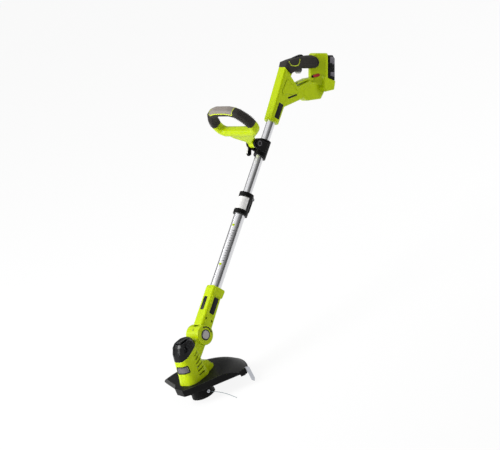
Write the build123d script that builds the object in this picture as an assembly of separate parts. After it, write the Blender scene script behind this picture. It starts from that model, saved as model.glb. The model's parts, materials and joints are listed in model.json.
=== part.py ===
from build123d import *
import math
import os

# String trimmer: telescopic shaft, tilting head, battery and mains rear handle.
# The frame is the trimmer in use: the origin is the middle of the spool cap's flat
# bottom face, +Z goes up the spool axis, +Y goes back to the user, +X is the
# button side of the head pivot. Every size is in millimetres and degrees.

# Fits
run_gap = 0.05
slide_gap = 0.35
seat_gap = 0.1

# Head pivot and leans
pivot_back = 76.0
pivot_height = 160.0
shaft_lean = 55.5
handle_lean = 31.5

# Tubes
upper_tube_radius = 13.0
upper_tube_wall = 1.5
lower_tube_radius = 16.5
lower_tube_wall = 2.0
upper_tube_foot = 262.0
upper_tube_reach = 30.0
lower_tube_foot = 62.0

# Spool
spool_radius = 35.0
spool_height = 29.0
spool_wall = 2.2
cap_height = 9.0
cap_round = 8.0
reel_radius = 30.0
reel_core = 14.0
reel_flange = 2.0
eyelet_radius = 5.0
eyelet_bore = 1.6
eyelet_height = 18.5
line_diameter = 1.6

# Motor
motor_radius = 22.0
motor_wall = 2.0
motor_foot = 88.0
motor_top = 148.0
motor_shaft_radius = 2.5
bearing_radius = 8.0
bearing_height = 6.0
bracket_height = 4.0
hub_radius = 10.0

# Motor housing and cover
shell_wall = 2.6
deck_top = 62.0
cover_top = 180.0
split_front = 147.0
split_slope = 19.0
barrel_radius = 30.0
barrel_half_width = 27.0
neck_half_width = 21.0
tongue_half_width = 9.5
tongue_radius = 21.0
axle_radius = 5.0
button_radius = 13.0
button_travel = 5.0

# Guard
guard_radius = 162.0
guard_shift = -13.0
guard_skirt_foot = 34.0
guard_wall = 3.0
guard_edge_foot = 41.0
guard_near_angle = 63.5
guard_far_angle = 84.0
guard_shoulder = 86.0
cutter_width = 11.0
cutter_reach = 22.0
cutter_foot = 6.0
cutter_thick = 1.6

# Lower sleeve
sleeve_top = 151.0
sleeve_half_width = 20.5
sleeve_front = 21.0
sleeve_back = 18.0
sleeve_gap = 0.6

# Coupler
coupler_foot = 383.0
coupler_length = 68.0
collar_height = 13.0
collar_radius = 21.5
coupler_core_radius = 19.0
spine_half_width = 8.0
spine_back = 22.0
lever_back = 26.0
lever_pin_radius = 2.0
lever_rise = 16.0
tube_seat = 15.0

# Front handle
clamp_foot = 566.0
clamp_top = 622.0
clamp_radius = 19.0
bolt_forward = 34.5
bolt_station = 598.0
bolt_radius = 4.0
ear_radius = 15.0
ear_thick = 7.0
neck_width = 24.0
loop_lean = 17.0
loop_drop = 10.0
loop_base = 65.0
loop_depth = 88.0
loop_half_width = 80.0
loop_front_half = 28.0
loop_inset = 5.0
loop_shoulder = 27.0
loop_cheek = (6.0, 53.0)
loop_brow = (24.0, 79.0)
loop_pad_half = 50.0
loop_corner = 24.0
loop_bar_width = 25.0
loop_bar_thick = 29.0
grip_skin = 2.5

# Rear handle
handle_station = 800.0
handle_half_width = 17.0
sleeve_foot_station = 682.0
grip_half_width = 20.0
grip_cover = 2.6
tower_half_width = 36.0
tower_back = 142.6
tower_front = 102.0
tower_nose = 5.0
rim_front = 136.0
tower_foot = 4.0
tower_top = 97.0
battery_depth = 29.0
battery_top = 91.0
battery_travel = 45.0
stem_half_width = 14.0
stem_reach = 20.0
inlet_front = 127.0
inlet_back = 175.0
inlet_foot = -17.0
inlet_top = 30.0
inlet_fall = 15.0

# Screws
screw_radius = 2.0
screw_head_radius = 3.6
screw_head_height = 2.4
screw_length = 12.0

pivot = (0, pivot_back, pivot_height)
shaft_at = Pos(*pivot) * Rot(-shaft_lean, 0, 0)
handle_tilt = shaft_lean - handle_lean
handle_at = shaft_at * Pos(0, 0, handle_station) * Rot(handle_tilt, 0, 0)
bolt_at = shaft_at * Pos(0, -bolt_forward, bolt_station)
loop_at = bolt_at * Rot(180 - loop_lean, 0, 0)
big = 3000.0


def side_face(points, radius=0.0):
    """Face of an outline in the YZ plane, with round corners where a radius is given."""
    if radius == 0:
        return make_face(Plane.YZ * Polyline(*points, close=True))
    return make_face(Plane.YZ * FilletPolyline(*points, radius=radius, close=True))


def side_prism(points, half_width, radius=0.0):
    """Outline in the YZ plane, thickened both ways along X."""
    return extrude(side_face(points, radius), amount=half_width, both=True)


def round_sides(solid, radius):
    """Round the edges that bound the two X faces of a prism."""
    faces = solid.faces().sort_by(Axis.X)
    return fillet(faces[0].edges() + faces[-1].edges(), radius)


def disc(radius, low, high):
    """Upright cylinder between two heights."""
    return Pos(0, 0, (low + high) / 2) * Cylinder(radius, high - low)


def ring(outer, inner, low, high):
    """Upright tube between two heights."""
    return disc(outer, low, high) - disc(inner, low - 1, high + 1)


def cross_disc(radius, low, high, y=0.0, z=0.0):
    """Cylinder along X between two X places."""
    return Pos((low + high) / 2, y, z) * Rot(0, 90, 0) * Cylinder(radius, high - low)


def slab(x, y, z):
    """Box from three (low, high) pairs."""
    middle = [(a + b) / 2 for a, b in (x, y, z)]
    size = [b - a for a, b in (x, y, z)]
    return Pos(*middle) * Box(*size)


def half(solid, side):
    """The part of a solid on one side of the X = 0 plane."""
    return solid & Pos(side * big / 2, 0, 0) * Box(big, big, big)


def screw(length):
    """Screw along +Z, with its head's top at the origin and its shank below."""
    head = disc(screw_head_radius, -screw_head_height, 0)
    return head + disc(screw_radius, -screw_head_height - length, -screw_head_height)


parts = {}

# Spool: cap, housing, reel, winding, eyelet and the line that leaves it
inner_radius = spool_radius - spool_wall
cap = disc(spool_radius, 0, cap_height)
cap = fillet(cap.edges().sort_by(Axis.Z)[0], cap_round)
cap_hollow_radius = inner_radius - spool_wall
cap -= disc(cap_hollow_radius, spool_wall, cap_height + 1)
post_radius = reel_core - 5
parts["spool_cap"] = cap + disc(post_radius, 0.5, cap_height + 4)

housing_foot = cap_height + seat_gap
spool_housing = ring(spool_radius, inner_radius, housing_foot, spool_height)
spool_housing += disc(spool_radius, spool_height - spool_wall, spool_height)
top_edge = spool_housing.edges().filter_by(GeomType.CIRCLE).sort_by(Axis.Z)[-1]
spool_housing = fillet(top_edge, spool_wall * 0.8)
eyelet_angle = -11.0
eyelet_at = Rot(0, 0, eyelet_angle) * Pos(inner_radius - 2, 0, eyelet_height) * Rot(0, 90, 0)
eyelet_length = spool_wall + 5
spool_housing -= eyelet_at * disc(eyelet_radius, -2, eyelet_length + 4)
shaft_hole = disc(motor_shaft_radius + run_gap, 0, big / 2)
spool_housing -= shaft_hole
parts["spool_housing"] = spool_housing
eyelet = ring(eyelet_radius - run_gap, eyelet_bore, 0, eyelet_length)
parts["eyelet"] = eyelet_at * eyelet

reel_low = cap_height + 1
reel_high = spool_height - spool_wall - seat_gap
reel = disc(reel_core, reel_low, reel_high)
reel += disc(reel_radius, reel_low, reel_low + reel_flange)
reel += disc(reel_radius, reel_high - reel_flange, reel_high)
reel -= disc(post_radius + seat_gap, 0, reel_high - reel_flange - 3)
parts["line_reel"] = reel - shaft_hole
winding_low = reel_low + reel_flange + seat_gap
winding_high = reel_high - reel_flange - seat_gap
parts["line_winding"] = ring(reel_radius - 4, reel_core + seat_gap, winding_low, winding_high)
spring_low = spool_wall + seat_gap
parts["feed_spring"] = ring(post_radius + 3, post_radius + 1, spring_low, reel_low - seat_gap)

# Free end of the line, from the eyelet out to the cutting circle
line_points = [
    (30.9, -6.0, 18.5),
    (45.0, -8.7, 18.8),
    (68.0, -11.2, 19.9),
    (92.0, -12.6, 19.8),
    (115.0, -13.2, 16.3),
    (137.0, -13.0, 9.8),
    (157.5, -12.0, 0.9),
]


def corner_radii(points):
    """Largest even arc radius at each inner point of a route."""
    radii = []
    for before, here, after in zip(points, points[1:], points[2:]):
        first = Vector(here) - Vector(before)
        second = Vector(after) - Vector(here)
        turn = math.radians(first.get_angle(second))
        radii.append(0.45 * min(first.length, second.length) / math.tan(turn / 2))
    return radii


line_radii = corner_radii(line_points)
line_path = FilletPolyline(*line_points, radius=line_radii)
line_start = Plane(origin=line_path @ 0, z_dir=line_path % 0)
line = sweep(line_start * Circle(line_diameter / 2), path=line_path)
line_section = math.pi * line_diameter**2 / 4
print("line radii", [round(r, 1) for r in line_radii])
print("line volume", round(line.volume, 2), "section times length", round(line_section * line_path.length, 2))
parts["trimmer_line"] = line

# Motor, its shaft and the drive hub
shaft_foot = spool_height - spool_wall - 6
shaft_head = motor_top + 8
parts["motor_shaft"] = disc(motor_shaft_radius, shaft_foot, shaft_head)
hub_low = spool_height + seat_gap
hub_high = deck_top - 8
hub = disc(hub_radius, hub_low, hub_high) - shaft_hole
parts["drive_hub"] = hub + ring(hub_radius * 2, hub_radius, hub_low, hub_low + 3)
bracket_foot = motor_foot - bracket_height
bracket_radius = motor_radius + 4
bearing_seat = disc(bearing_radius + seat_gap / 2, 0, motor_foot - 1)
bracket = disc(bracket_radius, bracket_foot, motor_foot)
bracket += disc(bearing_radius + 3, bracket_foot - bearing_height, bracket_foot)
bracket = bracket - bearing_seat - disc(motor_shaft_radius + 2, 0, motor_top)
parts["motor_bracket"] = bracket
lower_bearing_high = motor_foot - 1
bearing_bore = motor_shaft_radius + run_gap
lower_bearing = ring(bearing_radius, bearing_bore, lower_bearing_high - bearing_height, lower_bearing_high)
can = disc(motor_radius, motor_foot, motor_top)
can_top_low = motor_top - bearing_height - 1
can -= disc(motor_radius - motor_wall, motor_foot - 1, can_top_low)
can -= disc(bearing_radius + seat_gap / 2, motor_foot, motor_top + 1)
parts["motor_can"] = can
upper_bearing = ring(bearing_radius, bearing_bore, can_top_low + 0.5, motor_top - 0.5)
parts["motor_bearings"] = Compound([lower_bearing, upper_bearing])
armature_radius = motor_radius - motor_wall - 1
armature_low = motor_foot + 8
armature_high = can_top_low - 8
parts["motor_armature"] = ring(armature_radius, motor_shaft_radius, armature_low, armature_high)

# Outer form of the motor housing: rounded sections stacked up the spool axis
housing_sections = [
    (deck_top, -6.0, 74.0, 88.0, 28.0),
    (88.0, -5.0, 66.0, 80.0, 27.0),
    (124.0, -2.0, 63.0, 74.0, 25.0),
    (156.0, 3.0, 61.0, 70.0, 24.0),
    (cover_top - 7, 8.0, 56.0, 60.0, 22.0),
    (cover_top, 9.0, 44.0, 48.0, 17.0),
]


def stacked(sections, inset):
    """Loft of rounded rectangles, drawn in by an inset."""
    faces = []
    for height, middle, width, depth, corner in sections:
        outline = RectangleRounded(width - 2 * inset, depth - 2 * inset, corner - inset)
        faces.append(Pos(0, middle, height) * outline)
    return loft(faces, ruled=True)


body_outer = stacked(housing_sections, 0)
inner_sections = [(deck_top + shell_wall, *housing_sections[0][1:])]
inner_sections += housing_sections[1:-2]
inner_sections.append((cover_top - shell_wall - 4, *housing_sections[-2][1:]))
body_inner = stacked(inner_sections, shell_wall)

# The split between housing and cover climbs from the front to the barrel
split_tan = math.tan(math.radians(split_slope))
split_reach = cover_top * 2
split_rise = split_reach * split_tan
split_points = [(-split_reach, split_front - split_rise), (split_reach, split_front + split_rise)]
split_over = [(split_reach, split_reach), (-split_reach, split_reach)]
split_under = [(split_reach, -split_reach), (-split_reach, -split_reach)]
above_split = side_prism([*split_points, *split_over], split_reach)
below_split = side_prism([*split_points, *split_under], split_reach)

# Neck and barrel that carry the tilting pivot
neck_points = [
    (10.0, deck_top + 3),
    (16.0, pivot_height - 14),
    (pivot_back - barrel_radius + 6, pivot_height + 10),
    (pivot_back, pivot_height),
    (pivot_back - 7, pivot_height - 27),
    (27.0, 106.0),
    (29.0, deck_top + 3),
]
neck = round_sides(side_prism(neck_points, neck_half_width), 4)
barrel = cross_disc(barrel_radius, -barrel_half_width, barrel_half_width, pivot_back, pivot_height)
barrel = fillet(barrel.edges().filter_by(GeomType.CIRCLE), 2)
tail_points = [(24, deck_top), (24, 102), (44, 96), (57, 76), (72, deck_top + 3), (72, deck_top)]
tail_plan = Pos(0, 24, deck_top) * Ellipse(27, 49)
tail = side_prism(tail_points, 27) & extrude(tail_plan, amount=pivot_height)

tongue_room_half = tongue_half_width + slide_gap
axle_space = cross_disc(tongue_radius + sleeve_gap, -tongue_room_half, tongue_room_half)
head_back_tilt = 25.0
head_up_tilt = 35.0
swing = []
for turn in (-head_up_tilt, -head_up_tilt / 2, 0, head_back_tilt / 2, head_back_tilt):
    swing.append(Rot(-turn, 0, 0))
tongue_neck_half = 12.0
tongue_room = slab(
    (-tongue_room_half, tongue_room_half),
    (-tongue_neck_half - sleeve_gap, tongue_neck_half + sleeve_gap),
    (0, 60),
)
for turn in swing:
    axle_space += turn * tongue_room
axle_space = shaft_at * axle_space
button_bore = cross_disc(
    button_radius + slide_gap, tongue_half_width + 5, barrel_half_width + 5, pivot_back, pivot_height
)
axle_bore = cross_disc(
    axle_radius + run_gap, -barrel_half_width + 3, barrel_half_width, pivot_back, pivot_height
)

motor_room = disc(motor_radius + seat_gap, motor_foot, motor_top + 3) + disc(9, motor_top, motor_top + 14)
bracket_room = disc(bracket_radius + seat_gap, bracket_foot, motor_foot + 0.5)
hub_room = disc(bearing_radius + 3 + seat_gap, 0, bracket_foot + 1)
lower_shell = (body_outer & below_split) - body_inner
ledge = (body_inner & below_split) & disc(60, bracket_foot - 4, motor_foot)
lower_shell += ledge + neck + tail + barrel
lower_shell = lower_shell - motor_room - bracket_room - hub_room - axle_space - button_bore - axle_bore
guard_screw_places = [(27, -30), (-27, -30), (13, 58), (-13, 58)]
guard_bore = disc(screw_radius + seat_gap, guard_skirt_foot + 6, deck_top + 5)
screw_bores = [Pos(x, y, 0) * guard_bore for x, y in guard_screw_places]
for bore in screw_bores:
    lower_shell -= bore

badge_low = 100.0
badge_high = 118.0
badge_band = slab((-14, 60), (-80, -32), (badge_low, badge_high))
badge_depth = 1.2
badge_outer = body_outer & badge_band
badge_core = stacked(housing_sections, badge_depth)
badge = badge_outer - badge_core
lower_shell -= badge_outer - stacked(housing_sections, badge_depth + seat_gap)
parts["badge_plate"] = badge

vent_length = 26.0
vent_width = 3.6
vent_pitch = 12.0
vent_foot = deck_top + 14
vent_slot = slab((-60, 60), (-vent_length / 2, vent_length / 2), (-vent_width / 2, vent_width / 2))
vents = []
for row in range(6):
    vents.append(Pos(0, 2 + 3 * row, vent_foot + vent_pitch * row) * Rot(5 * row, 0, 0) * vent_slot)
vent_zone = slab((neck_half_width + 4, 60), (-20, 40), (deck_top + 6, split_front))
for vent in vents:
    cut = vent & vent_zone
    lower_shell = lower_shell - cut - mirror(cut, about=Plane.YZ)
parts["motor_housing_right"] = half(lower_shell, 1)
parts["motor_housing_left"] = half(lower_shell, -1)

cover = (body_outer & above_split) - body_inner
keep_off = side_prism(neck_points, neck_half_width + slide_gap)
keep_off += cross_disc(barrel_radius + 1, -big / 2, big / 2, pivot_back, pivot_height)
cover = cover - keep_off - motor_room
parts["motor_cover"] = cover.solids().sort_by(SortBy.VOLUME)[-1]

# Pivot axle, push button and bezel
axle_low = -barrel_half_width + 3
axle_high = tongue_half_width + 4.5
parts["pivot_axle"] = cross_disc(axle_radius, axle_low, axle_high, pivot_back, pivot_height)
button_low = axle_high + button_travel + 1
button_high = barrel_half_width + 2.5
button = cross_disc(button_radius, button_low, button_high, pivot_back, pivot_height)
parts["pivot_button"] = fillet(button.edges().filter_by(GeomType.CIRCLE).sort_by(Axis.X)[-1], 2)
bezel_outer = cross_disc(
    button_radius + 3, barrel_half_width, barrel_half_width + 1.2, pivot_back, pivot_height
)
parts["button_bezel"] = bezel_outer - button_bore

# Guard: domed deck behind the spool, open in front but for a short bumper
def dome(inset):
    """Domed disc about Z, drawn in by an inset and open below."""
    shoulder = guard_shoulder - inset / 2
    rim = guard_radius - inset
    top = deck_top - inset
    foot = guard_skirt_foot - inset
    crown = ThreePointArc(
        (shoulder, 0, top),
        (shoulder + (rim - shoulder) * 0.68, 0, top - (top - guard_skirt_foot) * 0.28),
        (rim, 0, guard_skirt_foot - inset / 2),
    )
    edges = [Line((0, 0, top), (shoulder, 0, top)), crown]
    edges.append(Line((rim, 0, guard_skirt_foot - inset / 2), (rim, 0, foot - 1)))
    edges += [Line((rim, 0, foot - 1), (0, 0, foot - 1)), Line((0, 0, foot - 1), (0, 0, top))]
    return Pos(0, guard_shift, 0) * revolve(make_face(Curve() + edges), axis=Axis.Z)


guard_at = Pos(0, guard_shift, 0)
near_turn = math.radians(guard_near_angle)
far_turn = math.radians(guard_far_angle)
near_corner = Vector(35, -62)
near_end = Vector(guard_radius * math.sin(near_turn), guard_shift + guard_radius * math.cos(near_turn))
far_corner = Vector(-47, -46)
far_end = Vector(-guard_radius * math.sin(far_turn), guard_shift + guard_radius * math.cos(far_turn))
near_way = (near_end - near_corner).normalized()
far_way = (far_end - far_corner).normalized()
guard_plan = [
    near_corner,
    near_corner + near_way * guard_radius * 2,
    (0, guard_radius * 3),
    far_corner + far_way * guard_radius * 2,
    far_corner,
    (-30, -66),
    (12, -76),
]
plan_face = make_face(Polyline(*guard_plan, close=True))
plan_inner = offset(plan_face, amount=-guard_wall, kind=Kind.INTERSECTION)
outer_space = extrude(plan_face, amount=deck_top + 10)
inner_space = extrude(plan_inner, amount=deck_top + 10)
guard = (dome(0) & outer_space) - (dome(guard_wall) & inner_space)
guard -= disc(guard_radius * 2, 0, guard_skirt_foot)
guard -= guard_at * disc(guard_radius - guard_wall - 9, 0, guard_edge_foot)
guard -= disc(hub_radius * 2 + 4, 0, deck_top + 1)
far_at = guard_at * Rot(0, 0, guard_far_angle)
guard -= far_at * slab((-30, 16), (guard_radius - 22, guard_radius + 5), (0, guard_skirt_foot + 8))
for bore in screw_bores:
    guard -= bore
near_heading = math.degrees(math.atan2(near_way.X, near_way.Y))
cutter_at = Pos(near_end.X, near_end.Y, 0) * Rot(0, 0, -near_heading)
cutter_top = guard_skirt_foot + 24
cutter_screw_y = -6.0
cutter_screw_z = guard_skirt_foot + 13
cutter_bore = cutter_at * cross_disc(screw_radius + seat_gap, -20, 20, cutter_screw_y, cutter_screw_z)
guard -= cutter_bore
parts["guard"] = guard.solids().sort_by(SortBy.VOLUME)[-1]
blade_points = [
    (-12, cutter_top - 16),
    (-12, cutter_top - 7),
    (cutter_reach - cutter_width, cutter_top),
    (cutter_reach - 2, cutter_top - 4),
    (cutter_reach, cutter_foot + 10),
    (cutter_reach - 4, cutter_foot),
    (cutter_reach - cutter_width, cutter_foot + 7),
    (cutter_reach - cutter_width - 1, cutter_top - 18),
]
blade = extrude(side_face(blade_points, 1.2), amount=cutter_thick / 2, both=True)
blade = Pos(cutter_thick / 2 + seat_gap / 2, 0, 0) * blade
parts["line_cutter"] = cutter_at * blade - cutter_bore
guard_screws = []
for x, y in guard_screw_places:
    screw_at = Pos(x, y, deck_top - guard_wall - screw_head_height) * Rot(180, 0, 0)
    guard_screws.append(screw_at * screw(guard_wall + 4))
cutter_screw_x = cutter_thick + seat_gap / 2 + screw_head_height
cutter_screw_at = cutter_at * Pos(cutter_screw_x, cutter_screw_y, cutter_screw_z) * Rot(0, 90, 0)
guard_screws.append(cutter_screw_at * screw(6))
parts["guard_screws"] = Compound(guard_screws)

# Lower tube and sleeve, in the shaft's own frame with +Z along the shaft
lower_tube_top = coupler_foot + tube_seat
tube_space = disc(lower_tube_radius + seat_gap, lower_tube_foot, sleeve_top + 1)
sleeve_profile = [
    (-sleeve_front, 0),
    (-sleeve_front, sleeve_top - 8),
    (-sleeve_front + 2, sleeve_top),
    (sleeve_back + 4, sleeve_top),
    (sleeve_back + 6, sleeve_top - 18),
    (sleeve_back + 1.5, sleeve_top - 30),
    (sleeve_back + 6, 0),
]
sleeve = round_sides(side_prism(sleeve_profile, sleeve_half_width), 8)
sleeve -= cross_disc(barrel_radius + sleeve_gap, -60, 60)
tongue = cross_disc(tongue_radius, -tongue_half_width, tongue_half_width)
tongue += slab((-tongue_half_width, tongue_half_width), (-tongue_neck_half, tongue_neck_half), (0, 40))
sleeve = sleeve + tongue - tube_space - cross_disc(axle_radius + run_gap, -60, 60)
sleeve_screw_places = [(-12, 48), (11, 48), (sleeve_back + 2.6, sleeve_top - 16)]
sleeve_screws = []
for y, z in sleeve_screw_places:
    screw_at = Pos(sleeve_half_width - 7, y, z) * Rot(0, 90, 0)
    sleeve -= screw_at * disc(screw_radius + seat_gap, -screw_head_height - screw_length - 1, 0)
    sleeve -= screw_at * disc(screw_head_radius + seat_gap, -screw_head_height, 10)
    sleeve_screws.append(screw_at * screw(screw_length))
parts["lower_sleeve_right"] = shaft_at * half(sleeve, 1)
parts["lower_sleeve_left"] = shaft_at * half(sleeve, -1)
parts["sleeve_screws"] = shaft_at * Compound(sleeve_screws)
lower_bore = lower_tube_radius - lower_tube_wall
parts["lower_tube"] = shaft_at * ring(lower_tube_radius, lower_bore, lower_tube_foot, lower_tube_top)

# Coupler that holds the two tubes, with its cam lever
coupler_top = coupler_foot + coupler_length
lever_foot = coupler_foot + lever_rise
bush_foot = coupler_foot - 7
bush = ring(lower_bore - run_gap, upper_tube_radius + run_gap, bush_foot, coupler_top - 2)
parts["guide_bush"] = shaft_at * bush
coupler = disc(coupler_core_radius, coupler_foot, coupler_top)
coupler += disc(collar_radius, coupler_foot, coupler_foot + collar_height)
coupler += disc(collar_radius, coupler_top - collar_height, coupler_top)
spine = (-spine_half_width, spine_half_width)
coupler += slab(spine, (0, spine_back), (coupler_foot, coupler_top))
pin_y = spine_back + 0.5
pin_z = coupler_top - 9
cam_radius = 5.0
coupler += cross_disc(cam_radius, *spine, pin_y, pin_z)
coupler -= disc(lower_tube_radius + run_gap, coupler_foot - 1, lower_tube_top + slide_gap)
coupler -= disc(lower_bore, coupler_foot, coupler_top + 1)
lever_half = spine_half_width - 2.6
lever_x = (-lever_half - slide_gap, lever_half + slide_gap)
coupler -= slab(lever_x, (pin_y - cam_radius - 1.5, 60), (pin_z - 9, pin_z + 20))
coupler -= cross_disc(lever_pin_radius, -20, 20, pin_y, pin_z)
parts["coupler_body"] = shaft_at * coupler
parts["lever_pin"] = shaft_at * cross_disc(lever_pin_radius, *spine, pin_y, pin_z)
lever = cross_disc(cam_radius, -lever_half, lever_half, pin_y, pin_z)
lever_points = [
    (spine_back + slide_gap, pin_z),
    (lever_back - 1, pin_z + 4),
    (lever_back, pin_z - 8),
    (lever_back, lever_foot + 4),
    (lever_back - 1.5, lever_foot),
    (spine_back + slide_gap, lever_foot + 2),
]
lever += side_prism(lever_points, lever_half)
lever -= cross_disc(lever_pin_radius + run_gap, -20, 20, pin_y, pin_z)
parts["coupler_lever"] = shaft_at * lever
label_low = coupler_foot + collar_height + 2
label_high = coupler_top - collar_height - 2
label = ring(coupler_core_radius + 1.2, coupler_core_radius + seat_gap, label_low, label_high)
label &= slab((-60, 60), (-60, -2), (0, big / 2))
parts["coupler_label"] = shaft_at * label

# Upper tube and the clamp of the front handle
upper_top = handle_station + upper_tube_reach
upper_bore = upper_tube_radius - upper_tube_wall
parts["upper_tube"] = shaft_at * ring(upper_tube_radius, upper_bore, upper_tube_foot, upper_top)
clamp = disc(clamp_radius, clamp_foot, clamp_top)
ear_half = neck_width / 2 + slide_gap
for side in (-1, 1):
    ear_x = sorted((side * ear_half, side * (ear_half + ear_thick)))
    ear = cross_disc(ear_radius, *ear_x, -bolt_forward, bolt_station)
    ear += slab(ear_x, (-bolt_forward, 0), (bolt_station - ear_radius, bolt_station + ear_radius))
    clamp += ear
clamp_undercut = [
    (-80, bolt_station - ear_radius),
    (clamp_radius + 1, clamp_foot - 1),
    (-80, clamp_foot - 60),
]
clamp -= side_prism(clamp_undercut, 40)
clamp -= cross_disc(ear_radius + 2, -ear_half, ear_half, -bolt_forward, bolt_station)
clamp -= disc(upper_tube_radius, clamp_foot - 60, clamp_top + 1)
clamp -= cross_disc(bolt_radius + run_gap, -60, 60, -bolt_forward, bolt_station)
parts["front_clamp"] = shaft_at * clamp
bolt_low = -ear_half - ear_thick - 9
bolt_high = ear_half + ear_thick
bolt = cross_disc(bolt_radius, bolt_low, bolt_high, -bolt_forward, bolt_station)
bolt += cross_disc(bolt_radius + 4, bolt_high, bolt_high + 4, -bolt_forward, bolt_station)
parts["handle_bolt"] = shaft_at * bolt
hub_x = (bolt_low + 1, -ear_half - ear_thick - slide_gap)
wing = cross_disc(8, *hub_x, -bolt_forward, bolt_station)
wing_points = [(-6, 4), (6, 4), (19, -28), (14, -35), (5, -31)]
wing_local = [(-bolt_forward + y, bolt_station + z) for y, z in wing_points]
wing += Pos(sum(hub_x) / 2, 0, 0) * side_prism(wing_local, (hub_x[1] - hub_x[0]) / 2, 1.5)
wing -= cross_disc(bolt_radius + run_gap, -60, 60, -bolt_forward, bolt_station)
parts["handle_lock_lever"] = shaft_at * wing

# Front loop handle, in its own frame: X across, +Y from the bolt out to the loop
loop_front = loop_base + loop_depth
loop_points = [
    (-loop_half_width + loop_inset, loop_base),
    (loop_half_width - loop_inset, loop_base),
    (loop_half_width, loop_base + loop_shoulder),
    (loop_half_width - loop_cheek[0], loop_base + loop_cheek[1]),
    (loop_half_width - loop_brow[0], loop_base + loop_brow[1]),
    (loop_front_half, loop_front),
    (-loop_front_half, loop_front),
    (-loop_half_width + loop_brow[0], loop_base + loop_brow[1]),
    (-loop_half_width + loop_cheek[0], loop_base + loop_cheek[1]),
    (-loop_half_width, loop_base + loop_shoulder),
]
loop_path = Pos(0, 0, loop_drop) * FilletPolyline(*loop_points, radius=loop_corner, close=True)


loop_section_at = Plane(origin=loop_path @ 0, x_dir=(0, 0, 1), z_dir=loop_path % 0)


def loop_bar(width, thick, corner):
    """Rounded bar swept round the loop."""
    return sweep(loop_section_at * RectangleRounded(thick, width, corner), path=loop_path)


loop_full = loop_bar(loop_bar_width, loop_bar_thick, 10)
loop_core = loop_bar(loop_bar_width - 2 * grip_skin, loop_bar_thick - 2 * grip_skin, 7.5)
grip_line = loop_base + 30
front_zone = slab((-200, 200), (grip_line, 400), (-60, 60))
back_zone = slab((-200, 200), (-100, grip_line), (-60, 60))
neck_round = 13.0
neck_thick = 18.0
neck_taper = [
    (-neck_width / 2, -neck_round),
    (neck_width / 2, -neck_round),
    (neck_width / 2, loop_base * 0.3),
    (loop_half_width * 0.57, loop_base * 0.62),
    (loop_half_width * 0.75, loop_base),
    (-loop_half_width * 0.75, loop_base),
    (-loop_half_width * 0.57, loop_base * 0.62),
    (-neck_width / 2, loop_base * 0.3),
]
neck_sides = extrude(make_face(Polyline(*neck_taper, close=True)), amount=60, both=True)
neck_profile = [
    (0, -neck_thick / 2),
    (loop_base, loop_drop - neck_thick / 2),
    (loop_base, loop_drop + neck_thick / 2),
    (0, neck_thick / 2),
]
loop_neck = neck_sides & (cross_disc(neck_round, -200, 200) + side_prism(neck_profile, 200))
frame_solid = (loop_full & back_zone) + (loop_core & front_zone) + loop_neck
frame_solid -= cross_disc(bolt_radius + run_gap, -60, 60)
parts["front_handle_frame"] = loop_at * frame_solid
skin = (loop_full & front_zone) - loop_core
pad_edge = 4.0
pad_band_width = loop_bar_width
pad_section = Pos(0, pad_band_width / 2 + pad_edge, 0) * Rectangle(2 * loop_bar_thick, pad_band_width)
pad_zone = sweep(loop_section_at * pad_section, path=loop_path)
pad_zone &= slab((-loop_pad_half, loop_pad_half), (grip_line, 400), (-60, 60))
parts["front_handle_grip"] = loop_at * (skin - pad_zone)
parts["front_handle_pad"] = loop_at * (skin & pad_zone)

# Rear handle, in its own frame: +Y back along the grip, +Z up
tilt = math.radians(handle_tilt)


def on_shaft(y, station):
    """Place in the rear handle's frame of a point given in the shaft's frame."""
    along = station - handle_station
    return (along * math.sin(tilt) + y * math.cos(tilt), along * math.cos(tilt) - y * math.sin(tilt))


strut_top = (-5.4, 54.2)
strut_foot = (44.0, -3.0)
main_points = [
    on_shaft(-handle_half_width, sleeve_foot_station),
    strut_top,
    strut_foot,
    (96.0, 18.0),
    (110.0, -20.0),
    (69.6, -35.8),
    (-9.4, -63.8),
    on_shaft(handle_half_width, sleeve_foot_station),
]
main_body = round_sides(side_prism(main_points, handle_half_width), 5)
panel_rise = 1.4
panel_points = [(2.0, 20.0), (44.0, -18.0), (40.0, -24.0), (-13.0, -26.0), (-19.0, -16.0)]
strut_panel = round_sides(side_prism(panel_points, handle_half_width + panel_rise, 2), panel_rise - 0.2)
strut_slot_depth = 1.8
strut_slot_middle = (20.8, -32.0)
strut_slot_lean = 17.0
strut_slot_at = Pos(0, *strut_slot_middle) * Rot(strut_slot_lean, 0, 0)
strut_slot = strut_slot_at * side_prism([(-19, -3), (19, -3), (19, 3), (-19, 3)], big / 2, 2.5)
strut_slot -= Box(2 * (handle_half_width - strut_slot_depth), big, big)
bulge_points = [(62, -33), (84, -44), (134, -38), (146, -20), (146, 12), (92, 12), (60, -10)]
bulge = round_sides(side_prism(bulge_points, handle_half_width + 1, 4), 6)
hook_points = [(45, 4), (46, 8.5), (84, 22), (tower_front + 8, 26), (tower_front + 8, 15), (84, 15.5)]
hook = side_prism(hook_points, handle_half_width - 6)


def tower_block(grow):
    """Battery end of the handle: a wedge from a narrow nose to the wide rim."""
    outline = [
        (tower_nose + grow, tower_front - grow),
        (tower_half_width + grow, rim_front),
        (tower_half_width + grow, tower_back),
        (-tower_half_width - grow, tower_back),
        (-tower_half_width - grow, rim_front),
        (-tower_nose - grow, tower_front - grow),
    ]
    wedge = extrude(make_face(Polyline(*outline, close=True)), amount=tower_top - tower_foot + grow)
    wedge = Pos(0, 0, tower_foot) * wedge
    top_edges = wedge.faces().sort_by(Axis.Z)[-1].edges().sort_by(Axis.Y)[:-1]
    wedge = fillet(top_edges, 7)
    wedge = fillet(wedge.edges().filter_by(Axis.Z).sort_by(Axis.Y)[:4], 5)
    brow = [
        (tower_front - 20, tower_top - 30),
        (tower_front + 16, tower_top + grow),
        (tower_front - 20, tower_top + 20),
    ]
    return wedge - side_prism(brow, tower_half_width + 20)


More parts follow.
